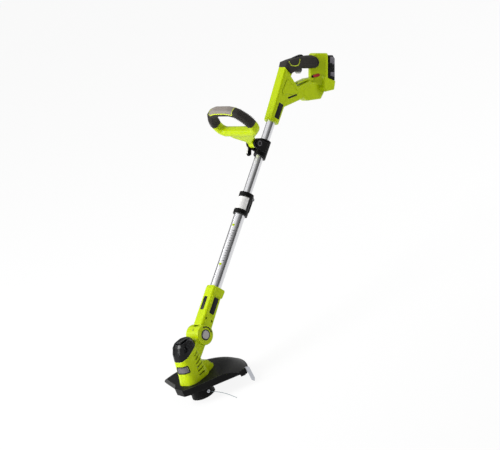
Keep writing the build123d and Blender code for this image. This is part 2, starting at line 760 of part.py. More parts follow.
tower = tower_block(0)
inlet_points = [
    (inlet_front, inlet_top),
    (inlet_back, inlet_fall),
    (inlet_back - 5, inlet_foot + 6),
    (inlet_front + 10, inlet_foot),
    (inlet_front, inlet_foot + 12),
]
inlet_shroud = round_sides(side_prism(inlet_points, tower_half_width), 5)

grip_points = [
    strut_top,
    (-1.0, 70.0),
    (20.0, 77.0),
    (62.6, 87.5),
    (101.6, 90.5),
    (113.0, 85.0),
    (118.5, 77.0),
    (120.0, 68.0),
    (118.0, 59.0),
    (112.0, 53.0),
    (94.0, 51.5),
    (55.0, 51.5),
    (18.0, 34.0),
]
grip_outer = side_prism(grip_points, grip_half_width)
grip_outer = round_sides(grip_outer, 9)
core_face = offset(side_face(grip_points), amount=-grip_cover)
core = extrude(core_face, amount=grip_half_width - grip_cover, both=True)
core = round_sides(core, 6.5)
knuckle = side_prism([(-4, 46), (4, 64), (34, 66), (24, 36), (16, 24)], grip_half_width - grip_cover - 5)

tube_angle = Rot(-handle_tilt, 0, 0)
foot_along = sleeve_foot_station - handle_station
sleeve_collar = tube_angle * disc(handle_half_width + 3.5, foot_along, foot_along + 11)
tube_bore = tube_angle * disc(upper_tube_radius + seat_gap / 2, foot_along - 1, upper_tube_reach + seat_gap)

housing = main_body + strut_panel + bulge + hook + tower + inlet_shroud + core + knuckle + sleeve_collar
housing = housing - strut_slot - tube_bore
grip_void_face = offset(core_face, amount=-grip_cover)
grip_void = extrude(grip_void_face, amount=grip_half_width - 2 * grip_cover - 1, both=True)
grip_void &= slab((-60, 60), (24, 112), (0, 200))
void_points = [(30, -38), (70, -26), (122, -26), (122, 2), (100, 4), (46, -14), (26, 6), (20, 4)]
void_half = handle_half_width - 3
panel_void = side_prism(void_points, void_half)
stem_z = (42.0, 76.0)
terminal_front = tower_back - 25.6
void_x = stem_half_width + slide_gap
void_z = (stem_z[0] - slide_gap, stem_z[1] + slide_gap)
tower_void = slab((-void_x, void_x), (terminal_front, tower_back + 1), void_z)
housing = housing - grip_void - panel_void - tower_void

hinge_y = 34.0
hinge_z = 50.0
trigger_half = 8.0
trigger_slot = slab((-trigger_half - slide_gap, trigger_half + slide_gap), (24, 72), (20, 62))
lock_half = 5.5
lock_y = (38.0, 72.0)
lock_room = (lock_y[0] - slide_gap, lock_y[1] + slide_gap)
lock_slot = slab((-lock_half - slide_gap, lock_half + slide_gap), lock_room, (72, 110))
housing = housing - trigger_slot - lock_slot

slot_length = 26.0
slot_height = 9.0
slot_depth = 8.0
slider_travel = 6.0
slot_tilt = 14.0
facet = Vector(tower_half_width - tower_nose, rim_front - tower_front).normalized()
slot_middle = Vector(tower_nose, tower_front, 30) + facet * 15
facet_plane = Plane(origin=slot_middle, x_dir=facet, z_dir=(facet.Y, -facet.X, 0))
slot_at = facet_plane.location * Rot(0, 0, slot_tilt)


def slot_block(length, height, low, high, shift=0.0):
    """Round-ended block on the wedge's face, between two depths."""
    outline = Pos(shift, 0, low) * SlotOverall(length, height)
    return slot_at * extrude(outline, amount=high - low)


housing -= slot_block(slot_length, slot_height, -slot_depth, 20)
inlet_half = 17.0
inlet_z = (-9.0, 13.0)
inlet_floor = 146.0
inlet_room = slab((-inlet_half, inlet_half), (inlet_floor, inlet_back + 20), inlet_z)
housing -= inlet_room

screw_places = [(4, -46), (76, -34), (118, -33), (120, 30)]
housing_screws = []
for y, z in screw_places:
    screw_at = Pos(-handle_half_width + 6, y, z) * Rot(0, -90, 0)
    housing -= screw_at * disc(screw_radius + seat_gap, -screw_head_height - screw_length - 1, 0)
    housing -= screw_at * disc(screw_head_radius + seat_gap, -screw_head_height, 30)
    housing_screws.append(screw_at * screw(screw_length))
parts["rear_housing_right"] = handle_at * half(housing, 1)
parts["rear_housing_left"] = handle_at * half(housing, -1)
parts["rear_housing_screws"] = handle_at * Compound(housing_screws)
grip_tail = tower_block(1.6) & side_prism(grip_points, tower_half_width)
grip = grip_outer + grip_tail - core - knuckle - tower - main_body - hook
grip = grip - grip_void - trigger_slot - lock_slot
parts["rear_grip"] = handle_at * grip.solids().sort_by(SortBy.VOLUME)[-1]

# Trigger, its switch and the lock-off button
pin_half = grip_half_width - 2 * grip_cover - 1 - seat_gap
parts["trigger_pin"] = handle_at * cross_disc(2, -pin_half, pin_half, hinge_y, hinge_z)
trigger_points = [(29, 55), (66, 58), (67, 46), (62, 37), (55, 36), (47, 43), (36, 43.5), (29, 45)]
trigger = round_sides(side_prism(trigger_points, trigger_half, 2), 1.5)
parts["trigger"] = handle_at * (trigger - cross_disc(2 + run_gap, -20, 20, hinge_y, hinge_z))
switch = slab((-10, 10), (74.5, 98), (57.2, 79.4))
parts["trigger_switch"] = handle_at * switch
lock_points = [(lock_y[0], 75), (lock_y[0], 83.4), (66, 92.5), (lock_y[1], 90.5), (lock_y[1], 75)]
parts["lock_off_button"] = handle_at * side_prism(lock_points, lock_half, 1)

# Mode slider and the switch behind it
plug_top = -slot_depth + 3
mode_switch = slot_block(
    slot_length - 2 * seat_gap, slot_height - 2 * seat_gap, -slot_depth + seat_gap, plug_top
)
parts["mode_switch"] = handle_at * mode_switch
slider_length = slot_length - slider_travel - 2 * slide_gap
slider_shift = (slot_length - slider_length) / 2 - slide_gap
slider = slot_block(slider_length, slot_height - 2 * slide_gap, plug_top + 2 * seat_gap, 1.5, slider_shift)
parts["mode_slider"] = handle_at * slider

# Battery side of the handle: terminals, converter board and mains inlet
terminal_y = (terminal_front + seat_gap, terminal_front + 4)
parts["terminal_block"] = handle_at * slab((-stem_half_width, stem_half_width), terminal_y, stem_z)
board_half = void_half - seat_gap
parts["converter_board"] = handle_at * slab((-board_half, board_half), (62, 118), (-14, -12.4))
inlet_plug = slab(
    (-inlet_half + seat_gap, inlet_half - seat_gap),
    (inlet_floor + seat_gap, inlet_floor + 6),
    (inlet_z[0] + seat_gap, inlet_z[1] - seat_gap),
)
parts["mains_inlet"] = handle_at * inlet_plug
pins = []
for x in (-7, 0, 7):
    pins.append(slab((x - 1, x + 1), (inlet_floor + 6, inlet_floor + 19), (-1, 5)))
parts["inlet_pins"] = handle_at * Compound(pins)

# Battery pack that slides off the back
pack_front = tower_back + slide_gap
pack_back = pack_front + battery_depth
pack_wall = 2.5
lid_thick = 7.0
shroud_slope = (inlet_top - inlet_fall) / (inlet_back - inlet_front)
pack_foot_front = inlet_top - (pack_front - inlet_front) * shroud_slope + slide_gap
pack_foot_back = inlet_top - (pack_back - inlet_front) * shroud_slope + slide_gap
pack_points = [
    (pack_front, pack_foot_front),
    (pack_back, pack_foot_back),
    (pack_back, battery_top - 10),
    (pack_back - 8, battery_top),
    (pack_front, battery_top),
]
pack = round_sides(side_prism(pack_points, tower_half_width), 4)
lid_zone = slab((-200, 200), (pack_back - lid_thick, 400), (-200, 200))
pack_hollow = slab(
    (-tower_half_width + pack_wall, tower_half_width - pack_wall),
    (pack_front + pack_wall, pack_back - lid_thick + 1),
    (pack_foot_front + pack_wall, battery_top - pack_wall),
)
case = pack - pack_hollow - lid_zone
latch_z = (48.0, 68.0)
latch_y = (pack_front + 6, pack_front + 17)
latch_travel = 2.5
for side, name in ((1, "right"), (-1, "left")):
    reach = sorted((side * (tower_half_width - 4), side * (tower_half_width + 1.5)))
    case -= slab(sorted((side * 10, side * 60)), latch_y, latch_z)
    grown_y = (latch_y[0] + slide_gap, latch_y[1] - slide_gap)
    grown_z = (latch_z[0] + slide_gap, latch_z[1] - slide_gap)
    parts[f"battery_latch_{name}"] = handle_at * slab(reach, grown_y, grown_z)
stem = slab((-stem_half_width, stem_half_width), (pack_front - stem_reach, pack_front + 1), stem_z)
parts["battery_case"] = handle_at * (case + fillet(stem.edges().filter_by(Axis.Y), 4))
parts["battery_lid"] = handle_at * (pack & lid_zone)
cell_radius = 9.0
cells = []
for z in (39, 58, 77):
    cells.append(cross_disc(cell_radius, -26, 26, pack_front + pack_wall + cell_radius + seat_gap, z))
parts["battery_cells"] = handle_at * Compound(cells)
lead_radius = 3.0
lead_drop = upper_bore - lead_radius - seat_gap
lead = Pos(0, lead_drop, 0) * disc(lead_radius, upper_tube_foot, upper_top - 2)
parts["shaft_lead"] = shaft_at * lead

for name, shape in parts.items():
    print(name, len(shape.solids()), round(shape.volume), shape.is_valid)
os.makedirs("parts", exist_ok=True)
for name, shape in parts.items():
    export_step(shape, f"parts/{name}.step")
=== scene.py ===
import json
import math

import bmesh
import bpy
from mathutils import Matrix, Vector
from mathutils.bvhtree import BVHTree


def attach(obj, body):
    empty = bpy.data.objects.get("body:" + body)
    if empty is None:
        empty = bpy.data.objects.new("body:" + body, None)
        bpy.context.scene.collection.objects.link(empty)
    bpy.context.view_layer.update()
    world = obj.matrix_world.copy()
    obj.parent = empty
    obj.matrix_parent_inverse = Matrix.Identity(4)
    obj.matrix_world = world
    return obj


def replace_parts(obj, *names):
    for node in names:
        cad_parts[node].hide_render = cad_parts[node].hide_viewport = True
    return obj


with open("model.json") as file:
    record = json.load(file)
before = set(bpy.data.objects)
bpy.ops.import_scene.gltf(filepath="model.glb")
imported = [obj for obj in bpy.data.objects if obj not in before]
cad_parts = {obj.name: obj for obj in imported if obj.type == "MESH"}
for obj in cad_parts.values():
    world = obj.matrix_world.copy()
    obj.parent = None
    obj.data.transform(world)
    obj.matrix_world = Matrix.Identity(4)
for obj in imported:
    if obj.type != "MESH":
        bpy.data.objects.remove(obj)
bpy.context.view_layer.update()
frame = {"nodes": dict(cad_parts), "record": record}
nodes = frame["nodes"]
scene = bpy.context.scene
scene.view_settings.view_transform = "Standard"
mm = 0.001
print("frame loaded,", len(nodes), "nodes")


def leaning(origin, degrees):  # a place in mm, turned about X as the shaft and handles are
    return Matrix.Translation(Vector(origin) * mm) @ Matrix.Rotation(math.radians(degrees), 4, "X")


leanSet = {"pivot": (0, 76, 160), "shaft": 55.5, "grip": (0, 735.3, 613.1), "handle": 31.5,
           "bolt": (0, 549.3, 527.1), "loop": 17}
shaftAt = leaning(leanSet["pivot"], -leanSet["shaft"])
handleAt = leaning(leanSet["grip"], -leanSet["handle"])
loopAt = leaning(leanSet["bolt"], 180 - leanSet["loop"] - leanSet["shaft"])
pivotAt = leaning(leanSet["pivot"], 0)

# camera at the photograph's angle
cameraSet = {"look": (96.4, 338.3, 376.0), "away": 30.0, "lens": 739.5, "sensor": 36.0,
             "clip": 120, "right": (0.6561, 0.6435, -0.3943), "up": (0, 0.5225, 0.8526)}
cameraData = bpy.data.cameras.new("camera")
cameraData.lens, cameraData.sensor_width = cameraSet["lens"], cameraSet["sensor"]
cameraData.clip_end = cameraSet["clip"]
camera = bpy.data.objects.new("camera", cameraData)
scene.collection.objects.link(camera)
right, up = Vector(cameraSet["right"]).normalized(), Vector(cameraSet["up"]).normalized()
back = right.cross(up)
turned = Matrix((right, up, back)).transposed().to_4x4()
cameraSpot = Vector(cameraSet["look"]) * mm + back * cameraSet["away"]
camera.matrix_world = Matrix.Translation(cameraSpot) @ turned
scene.camera = camera


def beadCurve(name, routes, radius, steps, closed=False):  # round beads along routes in the world
    curve = bpy.data.curves.new(name, "CURVE")
    curve.dimensions = "3D"
    curve.bevel_depth = radius * mm
    curve.bevel_resolution = 3
    curve.use_fill_caps = True
    for route in routes:
        spline = curve.splines.new("NURBS")
        spline.points.add(len(route) - 1)
        for point, place in zip(spline.points, route):
            point.co = (*place, 1)
        spline.order_u = 3
        spline.use_endpoint_u = not closed
        spline.use_cyclic_u = closed
        spline.resolution_u = steps
    return curve


# free end of the cutting line, on the same route as its solid
lineSet = {"diameter": 1.6, "steps": 10, "route": [
    (30.9, -6.0, 18.5), (45.0, -8.7, 18.8), (68.0, -11.2, 19.9), (92.0, -12.6, 19.8),
    (115.0, -13.2, 16.3), (137.0, -13.0, 9.8), (157.5, -12.0, 0.9)]}
lineCurve = beadCurve("cuttingLine", [[Vector(place) * mm for place in lineSet["route"]]],
                      lineSet["diameter"] / 2, lineSet["steps"])
cuttingLine = bpy.data.objects.new("cuttingLine", lineCurve)
scene.collection.objects.link(cuttingLine)
print("camera and line placed")


# finishes: each is one material with its own grain, drift of tone, and edges lightened partly as wear and
# partly as painted highlight
def linear(red, green, blue):  # an sRGB colour, 0 to 255, as the shader's own numbers
    def one(value):
        value /= 255
        return value / 12.92 if value <= 0.04045 else ((value + 0.055) / 1.055) ** 2.4
    return (one(red), one(green), one(blue), 1.0)


def newGroup(name, inputs, outputs):
    tree = bpy.data.node_groups.new(name, "ShaderNodeTree")
    for label, kind, value in inputs:
        socket = tree.interface.new_socket(name=label, in_out="INPUT", socket_type=kind)
        if value is not None:
            socket.default_value = value
    for label, kind in outputs:
        tree.interface.new_socket(name=label, in_out="OUTPUT", socket_type=kind)
    return tree, tree.nodes.new("NodeGroupInput"), tree.nodes.new("NodeGroupOutput")


def makeGrainGroup():  # moulded grain: a fine height and a slow drift of tone
    tree, start, end = newGroup(
        "mouldedGrain",
        [("Vector", "NodeSocketVector", None), ("Grain Scale", "NodeSocketFloat", 1400.0),
         ("Drift Scale", "NodeSocketFloat", 14.0)],
        [("Height", "NodeSocketFloat"), ("Drift", "NodeSocketFloat"), ("Scuff", "NodeSocketFloat")])
    fine = tree.nodes.new("ShaderNodeTexNoise")
    fine.inputs["Detail"].default_value = 2.0
    slow = tree.nodes.new("ShaderNodeTexNoise")
    slow.inputs["Detail"].default_value = 3.0
    scuff = tree.nodes.new("ShaderNodeTexNoise")
    scuff.inputs["Detail"].default_value = 6.0
    times = tree.nodes.new("ShaderNodeMath")  # scuffs are finer than the drift
    times.operation = "MULTIPLY"
    times.inputs[1].default_value = 9.0
    link = tree.links.new
    link(start.outputs["Grain Scale"], fine.inputs["Scale"])
    link(start.outputs["Drift Scale"], slow.inputs["Scale"])
    link(start.outputs["Drift Scale"], times.inputs[0])
    link(times.outputs[0], scuff.inputs["Scale"])
    for noise, label in ((fine, "Height"), (slow, "Drift"), (scuff, "Scuff")):
        link(start.outputs["Vector"], noise.inputs["Vector"])
        link(noise.outputs["Fac"], end.inputs[label])
    return tree


def makeEdgeGroup():  # where a corner is near: a rounded normal against the true one
    tree, start, end = newGroup(
        "edgeWearAndSheen", [("Radius", "NodeSocketFloat", 0.0012)],
        [("Mask", "NodeSocketFloat"), ("Normal", "NodeSocketVector")])
    bevel = tree.nodes.new("ShaderNodeBevel")
    bevel.samples = 4
    true = tree.nodes.new("ShaderNodeNewGeometry")
    dot = tree.nodes.new("ShaderNodeVectorMath")
    dot.operation = "DOT_PRODUCT"
    spread = tree.nodes.new("ShaderNodeMapRange")
    spread.inputs["From Min"].default_value = 0.995
    spread.inputs["From Max"].default_value = 0.80
    link = tree.links.new
    link(start.outputs["Radius"], bevel.inputs["Radius"])
    link(bevel.outputs["Normal"], dot.inputs[0])
    link(true.outputs["Normal"], dot.inputs[1])
    link(dot.outputs["Value"], spread.inputs["Value"])
    link(spread.outputs["Result"], end.inputs["Mask"])
    link(bevel.outputs["Normal"], end.inputs["Normal"])
    return tree


grainGroup = makeGrainGroup()
edgeWearSheenGroup = makeEdgeGroup()


roughSpread = 0.12  # how far the scuffs move a finish's roughness


def makeFinish(name, tone, drift, rough, edge=None, grain=1400.0, depth=0.000015, metal=0.0,
               stretch=None, band=None, specular=0.3):
    material = bpy.data.materials.new(name)
    material.use_nodes = True
    tree = material.node_tree
    link = tree.links.new
    shader = tree.nodes["Principled BSDF"]
    shader.inputs["Metallic"].default_value = metal
    shader.inputs["IOR"].default_value = 1.5
    shader.inputs["Specular IOR Level"].default_value = specular
    place = tree.nodes.new("ShaderNodeTexCoord")
    mapping = tree.nodes.new("ShaderNodeMapping")
    if stretch:  # brushed or drawn along the shaft
        mapping.inputs["Rotation"].default_value = (math.radians(stretch[0]), 0, 0)
        mapping.inputs["Scale"].default_value = stretch[1:]
    link(place.outputs["Object"], mapping.inputs["Vector"])
    group = tree.nodes.new("ShaderNodeGroup")
    group.node_tree = grainGroup
    group.inputs["Grain Scale"].default_value = grain
    link(mapping.outputs["Vector"], group.inputs["Vector"])
    tones = tree.nodes.new("ShaderNodeMix")
    tones.data_type = "RGBA"
    tones.inputs["A"].default_value = linear(*tone)
    tones.inputs["B"].default_value = linear(*drift)
    link(group.outputs["Drift"], tones.inputs["Factor"])
    colour = tones.outputs["Result"]
    if band:  # a second tone beyond a level in a leaning frame
        level = tree.nodes.new("ShaderNodeMapping")
        level.inputs["Location"].default_value = band["move"]
        level.inputs["Rotation"].default_value = (math.radians(band["turn"]), 0, 0)
        link(place.outputs["Object"], level.inputs["Vector"])
        split = tree.nodes.new("ShaderNodeSeparateXYZ")
        link(level.outputs["Vector"], split.inputs["Vector"])
        step = tree.nodes.new("ShaderNodeMapRange")
        step.inputs["From Min"].default_value = band["low"]
        step.inputs["From Max"].default_value = band["high"]
        link(split.outputs["Z"], step.inputs["Value"])
        second = tree.nodes.new("ShaderNodeMix")
        second.data_type = "RGBA"
        second.inputs["A"].default_value = linear(*band["tone"])
        link(step.outputs["Result"], second.inputs["Factor"])
        link(colour, second.inputs["B"])
        colour = second.outputs["Result"]
    edgeWearSheenNode = tree.nodes.new("ShaderNodeGroup")
    edgeWearSheenNode.node_tree = edgeWearSheenGroup
    # edge tone where the edge mask meets the scuffs: partly wear, partly painted highlight
    if edge:
        wearAndSheen = tree.nodes.new("ShaderNodeMath")
        wearAndSheen.operation = "MULTIPLY"
        link(edgeWearSheenNode.outputs["Mask"], wearAndSheen.inputs[0])
        link(group.outputs["Scuff"], wearAndSheen.inputs[1])
        lift = tree.nodes.new("ShaderNodeMix")
        lift.data_type = "RGBA"
        lift.inputs["B"].default_value = linear(*edge)
        link(wearAndSheen.outputs[0], lift.inputs["Factor"])
        link(colour, lift.inputs["A"])
        colour = lift.outputs["Result"]
    link(colour, shader.inputs["Base Color"])
    gloss = tree.nodes.new("ShaderNodeMapRange")
    gloss.inputs["To Min"].default_value = rough - roughSpread / 2
    gloss.inputs["To Max"].default_value = rough + roughSpread / 2
    link(group.outputs["Scuff"], gloss.inputs["Value"])
    link(gloss.outputs["Result"], shader.inputs["Roughness"])
    bump = tree.nodes.new("ShaderNodeBump")
    bump.inputs["Strength"].default_value = 0.6
    bump.inputs["Distance"].default_value = depth
    link(group.outputs["Height"], bump.inputs["Height"])
    link(edgeWearSheenNode.outputs["Normal"], bump.inputs["Normal"])
    link(bump.outputs["Normal"], shader.inputs["Normal"])
    return material


alongShaft = (leanSet["shaft"], 1.0, 1.0, 0.04)  # turn to the shaft, then draw the grain out along it
# each edge tone below is partly wear and partly a painted highlight along the corners
finishes = {
    "lime_plastic": makeFinish("limePlastic", (180, 201, 3), (171, 193, 0), 0.30, edge=(226, 238, 96),
                               specular=0.13),
    "black_plastic": makeFinish("blackPlastic", (9, 9, 9), (14, 14, 14), 0.42, edge=(122, 122, 124),
                                specular=0.09),
    "dark_rubber": makeFinish("darkRubber", (44, 42, 39), (56, 53, 50), 0.72, edge=(104, 100, 95),
                              specular=0.14, grain=2200, depth=0.00004),
    "grey_rubber": makeFinish("greyRubber", (128, 120, 114), (140, 132, 125), 0.62, edge=(168, 162, 155),
                              grain=2200, depth=0.00004),
    "tube_aluminium": makeFinish("drawnAluminium", (224, 224, 226), (206, 206, 209), 0.22, metal=1.0,
                                 grain=900, depth=0.00001, stretch=alongShaft),
    "steel": makeFinish("brightSteel", (190, 192, 198), (170, 172, 178), 0.28, metal=1.0, grain=1800,
                        depth=0.00001),
    "button_metal": makeFinish("buttonMetal", (158, 156, 154), (142, 140, 138), 0.34, metal=1.0,
                               grain=1500, depth=0.00001),
    "badge_grey": makeFinish("badgeGrey", (90, 87, 94), (102, 99, 105), 0.40, edge=(146, 144, 150)),
    "label_white": makeFinish("labelWhite", (234, 233, 231), (227, 226, 224), 0.45, grain=800),
    "switch_red": makeFinish("switchRed", (176, 38, 40), (160, 30, 34), 0.35, edge=(214, 96, 92)),
    "switch_black": makeFinish("switchBlack", (14, 14, 15), (20, 20, 21), 0.42, edge=(58, 58, 60),
                               specular=0.15),
    "nylon_line": makeFinish("nylonLine", (112, 130, 136), (98, 116, 122), 0.30, grain=1600),
    "brass_contact": makeFinish("brassContact", (196, 158, 84), (180, 140, 70), 0.3, metal=1.0),
    "motor_iron": makeFinish("motorIron", (112, 110, 108), (96, 94, 92), 0.5, metal=1.0),
    "board_green": makeFinish("boardGreen", (34, 92, 52), (28, 80, 46), 0.5),
    "pale_plastic": makeFinish("palePlastic", (206, 205, 202), (196, 195, 192), 0.45, edge=(228, 227, 224)),
}
# the pale blue-grey edge tone here is a painted reflection along the ledges
glossBlack = makeFinish("glossBlack", (5, 5, 6), (9, 9, 11), 0.16, edge=(150, 156, 168), depth=0.00001,
                        specular=0.2)
# a lighter copy of the lime: painted highlight along the thin piping
highlightLime = makeFinish("highlightLime", (204, 222, 34), (198, 216, 28), 0.34)
markBlack = makeFinish("markBlack", (26, 26, 27), (34, 34, 35), 0.6, specular=0.05)
triggerBand = {"move": (0, -0.3066, -0.9069), "turn": leanSet["handle"], "low": 0.0405, "high": 0.0415,
               "tone": (178, 178, 180)}
triggerFinish = makeFinish("triggerPlastic", (40, 40, 41), (48, 48, 48), 0.45, edge=(96, 96, 96),
                           band=triggerBand)
for row in frame["record"]["subparts"]:
    for materialSlot in nodes[row["node"]].material_slots:
        materialSlot.material = finishes[row["material_slot"]]
for name, finish in (("motor_cover", glossBlack), ("trigger", triggerFinish), ("button_bezel", glossBlack)):
    for materialSlot in nodes[name].material_slots:
        materialSlot.material = finish
print("finishes made,", len(finishes) + 4)

# the cutting line stands in for its solid
lineCurve.materials.append(finishes["nylon_line"])
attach(cuttingLine, "spool")
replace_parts(cuttingLine, "trimmer_line")

# helpers for the pieces: surfaces of the solids, plates, beads, repeated bars and turned shapes
seat = 0.3  # how deep a plate sits in its surface, mm
outside = 250  # beyond every solid that a line is dropped on, mm
sharpAngle = math.radians(40)
beadSteps = 4
cornerShare = 0.45  # the most of a side that one rounded corner takes
sides = (1, -1)


def spotAt(at, *place):  # a place in mm in a leaning frame, in the world
    return at @ (Vector(place) * mm)


def surfaceOf(*names):
    corners, faces = [], []
    for name in names:
        mesh = nodes[name].data
        first = len(corners)
        corners += [v.co.copy() for v in mesh.vertices]
        faces += [[first + i for i in p.vertices] for p in mesh.polygons]
    return BVHTree.FromPolygons(corners, faces)


def dropOn(surface, at, start, aim):  # where a line in a leaning frame first meets a solid
    way = (at.to_3x3() @ Vector(aim)).normalized()
    place, normal, _, _ = surface.ray_cast(spotAt(at, *start), way)
    if place is None:
        raise ValueError(f"nothing under {start}")
    return place, normal


def dropSide(surface, at, side, y, z):
    return dropOn(surface, at, (side * outside, y, z), (-side, 0, 0))


def addPiece(name, mesh, body, slot, finish=None):
    mesh.materials.clear()
    mesh.materials.append(finish or finishes[slot])
    piece = bpy.data.objects.new(name, mesh)
    scene.collection.objects.link(piece)
    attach(piece, body)
    return piece


def bmeshPiece(name, shape, body, slot, finish=None):
    bmesh.ops.recalc_face_normals(shape, faces=shape.faces)
    mesh = bpy.data.meshes.new(name)
    shape.to_mesh(mesh)
    shape.free()
    mesh.shade_smooth()
    mesh.set_sharp_from_angle(angle=sharpAngle)
    return addPiece(name, mesh, body, slot, finish)


def settledMesh(holder):  # the mesh that a curve or a modifier makes, without its holder
    bpy.context.view_layer.update()
    mesh = bpy.data.meshes.new_from_object(holder.evaluated_get(bpy.context.evaluated_depsgraph_get()))
    bpy.data.objects.remove(holder)
    return mesh


def addPlate(shape, corners, lift, bevel):  # corners in the world, pushed out by lift and rounded off
    base = [shape.verts.new(c) for c in corners]
    top = [shape.verts.new(c + lift) for c in corners]
    count = len(corners)
    shape.faces.new(base[::-1])
    face = shape.faces.new(top)
    for i in range(count):
        shape.faces.new((base[i], base[(i + 1) % count], top[(i + 1) % count], top[i]))
    bmesh.ops.bevel(shape, geom=list(face.edges), offset=bevel * mm, segments=3, profile=0.6,
                    affect="EDGES")


def rectangle(first, second):
    return [(first[0], second[0]), (first[1], second[0]), (first[1], second[1]), (first[0], second[1])]


def roundOutline(points, radius, steps=4):  # a flat outline with its corners rounded
    result = []
    count = len(points)
    for i in range(count):
        before, here, after = (Vector(points[(i + k) % count]) for k in (-1, 0, 1))
        first, last = (before - here).normalized(), (after - here).normalized()
        shortest = min((before - here).length, (after - here).length)
        reach = min(radius / math.tan(first.angle(last) / 2), shortest * cornerShare)
        begin, end = here + first * reach, here + last * reach
        for k in range(steps + 1):
            t = k / steps
            result.append(begin * (1 - t) ** 2 + here * 2 * t * (1 - t) + end * t ** 2)
    return result


def sidePlates(name, at, outline, level, rise, bevel, body, slot, faces=sides):
    shape = bmesh.new()  # one plate on each side face of a leaning frame
    for side in faces:
        corners = [spotAt(at, side * level, y, z) for y, z in outline]
        if side < 0:
            corners.reverse()
        addPlate(shape, corners, at.to_3x3() @ Vector((side * rise * mm, 0, 0)), bevel)
    return bmeshPiece(name, shape, body, slot)


def addBeads(name, routes, radius, body, slot, finish=None, closed=False):
    curve = beadCurve(name, routes, radius, beadSteps, closed)
    holder = bpy.data.objects.new(name + "Route", curve)
    scene.collection.objects.link(holder)
    mesh = settledMesh(holder)
    mesh.shade_smooth()
    return addPiece(name, mesh, body, slot, finish)


def makeBarTree():  # soft-edged bars on a cloud of points, each turned and stretched by its point
    tree = bpy.data.node_groups.new("repeatedBars", "GeometryNodeTree")
    socket = tree.interface.new_socket
    socket(name="Geometry", in_out="INPUT", socket_type="NodeSocketGeometry")
    for label, value in (("Bar Length", 0.01), ("Bar Width", 0.002), ("Bar Height", 0.001),
                         ("Edge Crease", 0.6)):
        socket(name=label, in_out="INPUT", socket_type="NodeSocketFloat").default_value = value
    socket(name="Finish", in_out="INPUT", socket_type="NodeSocketMaterial")
    socket(name="Geometry", in_out="OUTPUT", socket_type="NodeSocketGeometry")
    add, link = tree.nodes.new, tree.links.new
    start, end = add("NodeGroupInput"), add("NodeGroupOutput")
    size, bar = add("ShaderNodeCombineXYZ"), add("GeometryNodeMeshCube")
    soft = add("GeometryNodeSubdivisionSurface")
    soft.inputs["Level"].default_value = 2
    turn, stretch = add("GeometryNodeInputNamedAttribute"), add("GeometryNodeInputNamedAttribute")
    for attribute, label in ((turn, "turn"), (stretch, "stretch")):
        attribute.data_type = "FLOAT_VECTOR"
        attribute.inputs["Name"].default_value = label
    asRotation, copies = add("FunctionNodeEulerToRotation"), add("GeometryNodeInstanceOnPoints")
    real, smooth = add("GeometryNodeRealizeInstances"), add("GeometryNodeSetShadeSmooth")
    paint = add("GeometryNodeSetMaterial")
    for label, axis in (("Bar Length", "X"), ("Bar Width", "Y"), ("Bar Height", "Z")):
        link(start.outputs[label], size.inputs[axis])
    link(size.outputs["Vector"], bar.inputs["Size"])
    link(bar.outputs["Mesh"], soft.inputs["Mesh"])
    link(start.outputs["Edge Crease"], soft.inputs["Edge Crease"])
    link(start.outputs["Geometry"], copies.inputs["Points"])
    link(soft.outputs["Mesh"], copies.inputs["Instance"])
    link(turn.outputs["Attribute"], asRotation.inputs["Euler"])
    link(asRotation.outputs["Rotation"], copies.inputs["Rotation"])
    link(stretch.outputs["Attribute"], copies.inputs["Scale"])
    link(copies.outputs["Instances"], real.inputs["Geometry"])
    link(real.outputs["Geometry"], smooth.inputs["Geometry"])
    link(smooth.outputs["Geometry"], paint.inputs["Geometry"])
    link(start.outputs["Finish"], paint.inputs["Material"])
    link(paint.outputs["Geometry"], end.inputs["Geometry"])
    return tree


barTree = makeBarTree()


def repeatBars(name, places, size, body, slot, crease=0.6, finish=None):
    points = bpy.data.meshes.new(name + "Points")  # places: (middle, out, along, length share)
    points.from_pydata([tuple(p[0]) for p in places], [], [])
    turn = points.attributes.new("turn", "FLOAT_VECTOR", "POINT")
    stretch = points.attributes.new("stretch", "FLOAT_VECTOR", "POINT")
    for i, (_, out, along, share) in enumerate(places):
        z = Vector(out).normalized()
        x = (Vector(along) - z * Vector(along).dot(z)).normalized()
        turn.data[i].vector = Matrix((x, z.cross(x), z)).transposed().to_euler()
        stretch.data[i].vector = (share, 1, 1)
    holder = bpy.data.objects.new(name + "Holder", points)
    scene.collection.objects.link(holder)
    modifier = holder.modifiers.new("bars", "NODES")
    modifier.node_group = barTree
    values = {"Bar Length": size[0] * mm, "Bar Width": size[1] * mm, "Bar Height": size[2] * mm,
              "Edge Crease": crease, "Finish": finish or finishes[slot]}
    for item in barTree.interface.items_tree:
        if item.in_out == "INPUT" and item.name in values:
            modifier[item.identifier] = values[item.name]
    mesh = settledMesh(holder)
    for label in ("turn", "stretch"):
        if label in mesh.attributes:
            mesh.attributes.remove(mesh.attributes[label])
    return addPiece(name, mesh, body, slot, finish)


def addLathe(name, at, profile, body, slot, steps=48):  # (radius, height) turned about the frame's Z
    shape = bmesh.new()
    rings = []
    for radius, height in profile:
        turns = [2 * math.pi * k / steps for k in range(steps if radius else 1)]
        rings.append([shape.verts.new(spotAt(at, radius * math.cos(a), radius * math.sin(a), height))
                      for a in turns])
    pairs = list(zip(rings, rings[1:]))
    if profile[0][0]:
        pairs.append((rings[-1], rings[0]))
    for first, second in pairs:
        for k in range(steps):
            corners = [ring[i % len(ring)] for ring, i in (
                (first, k), (first, k + 1), (second, k + 1), (second, k))]
            shape.faces.new(list(dict.fromkeys(corners)))
    return bmeshPiece(name, shape, body, slot)


worldAt = Matrix.Identity(4)
axisX, axisZ = Vector((1, 0, 0)), Vector((0, 0, 1))
handleY, handleZ = (handleAt.to_3x3() @ Vector(axis) for axis in ((0, 1, 0), (0, 0, 1)))
shaftY, shaftZ = (shaftAt.to_3x3() @ Vector(axis) for axis in ((0, 1, 0), (0, 0, 1)))
print("helpers ready")

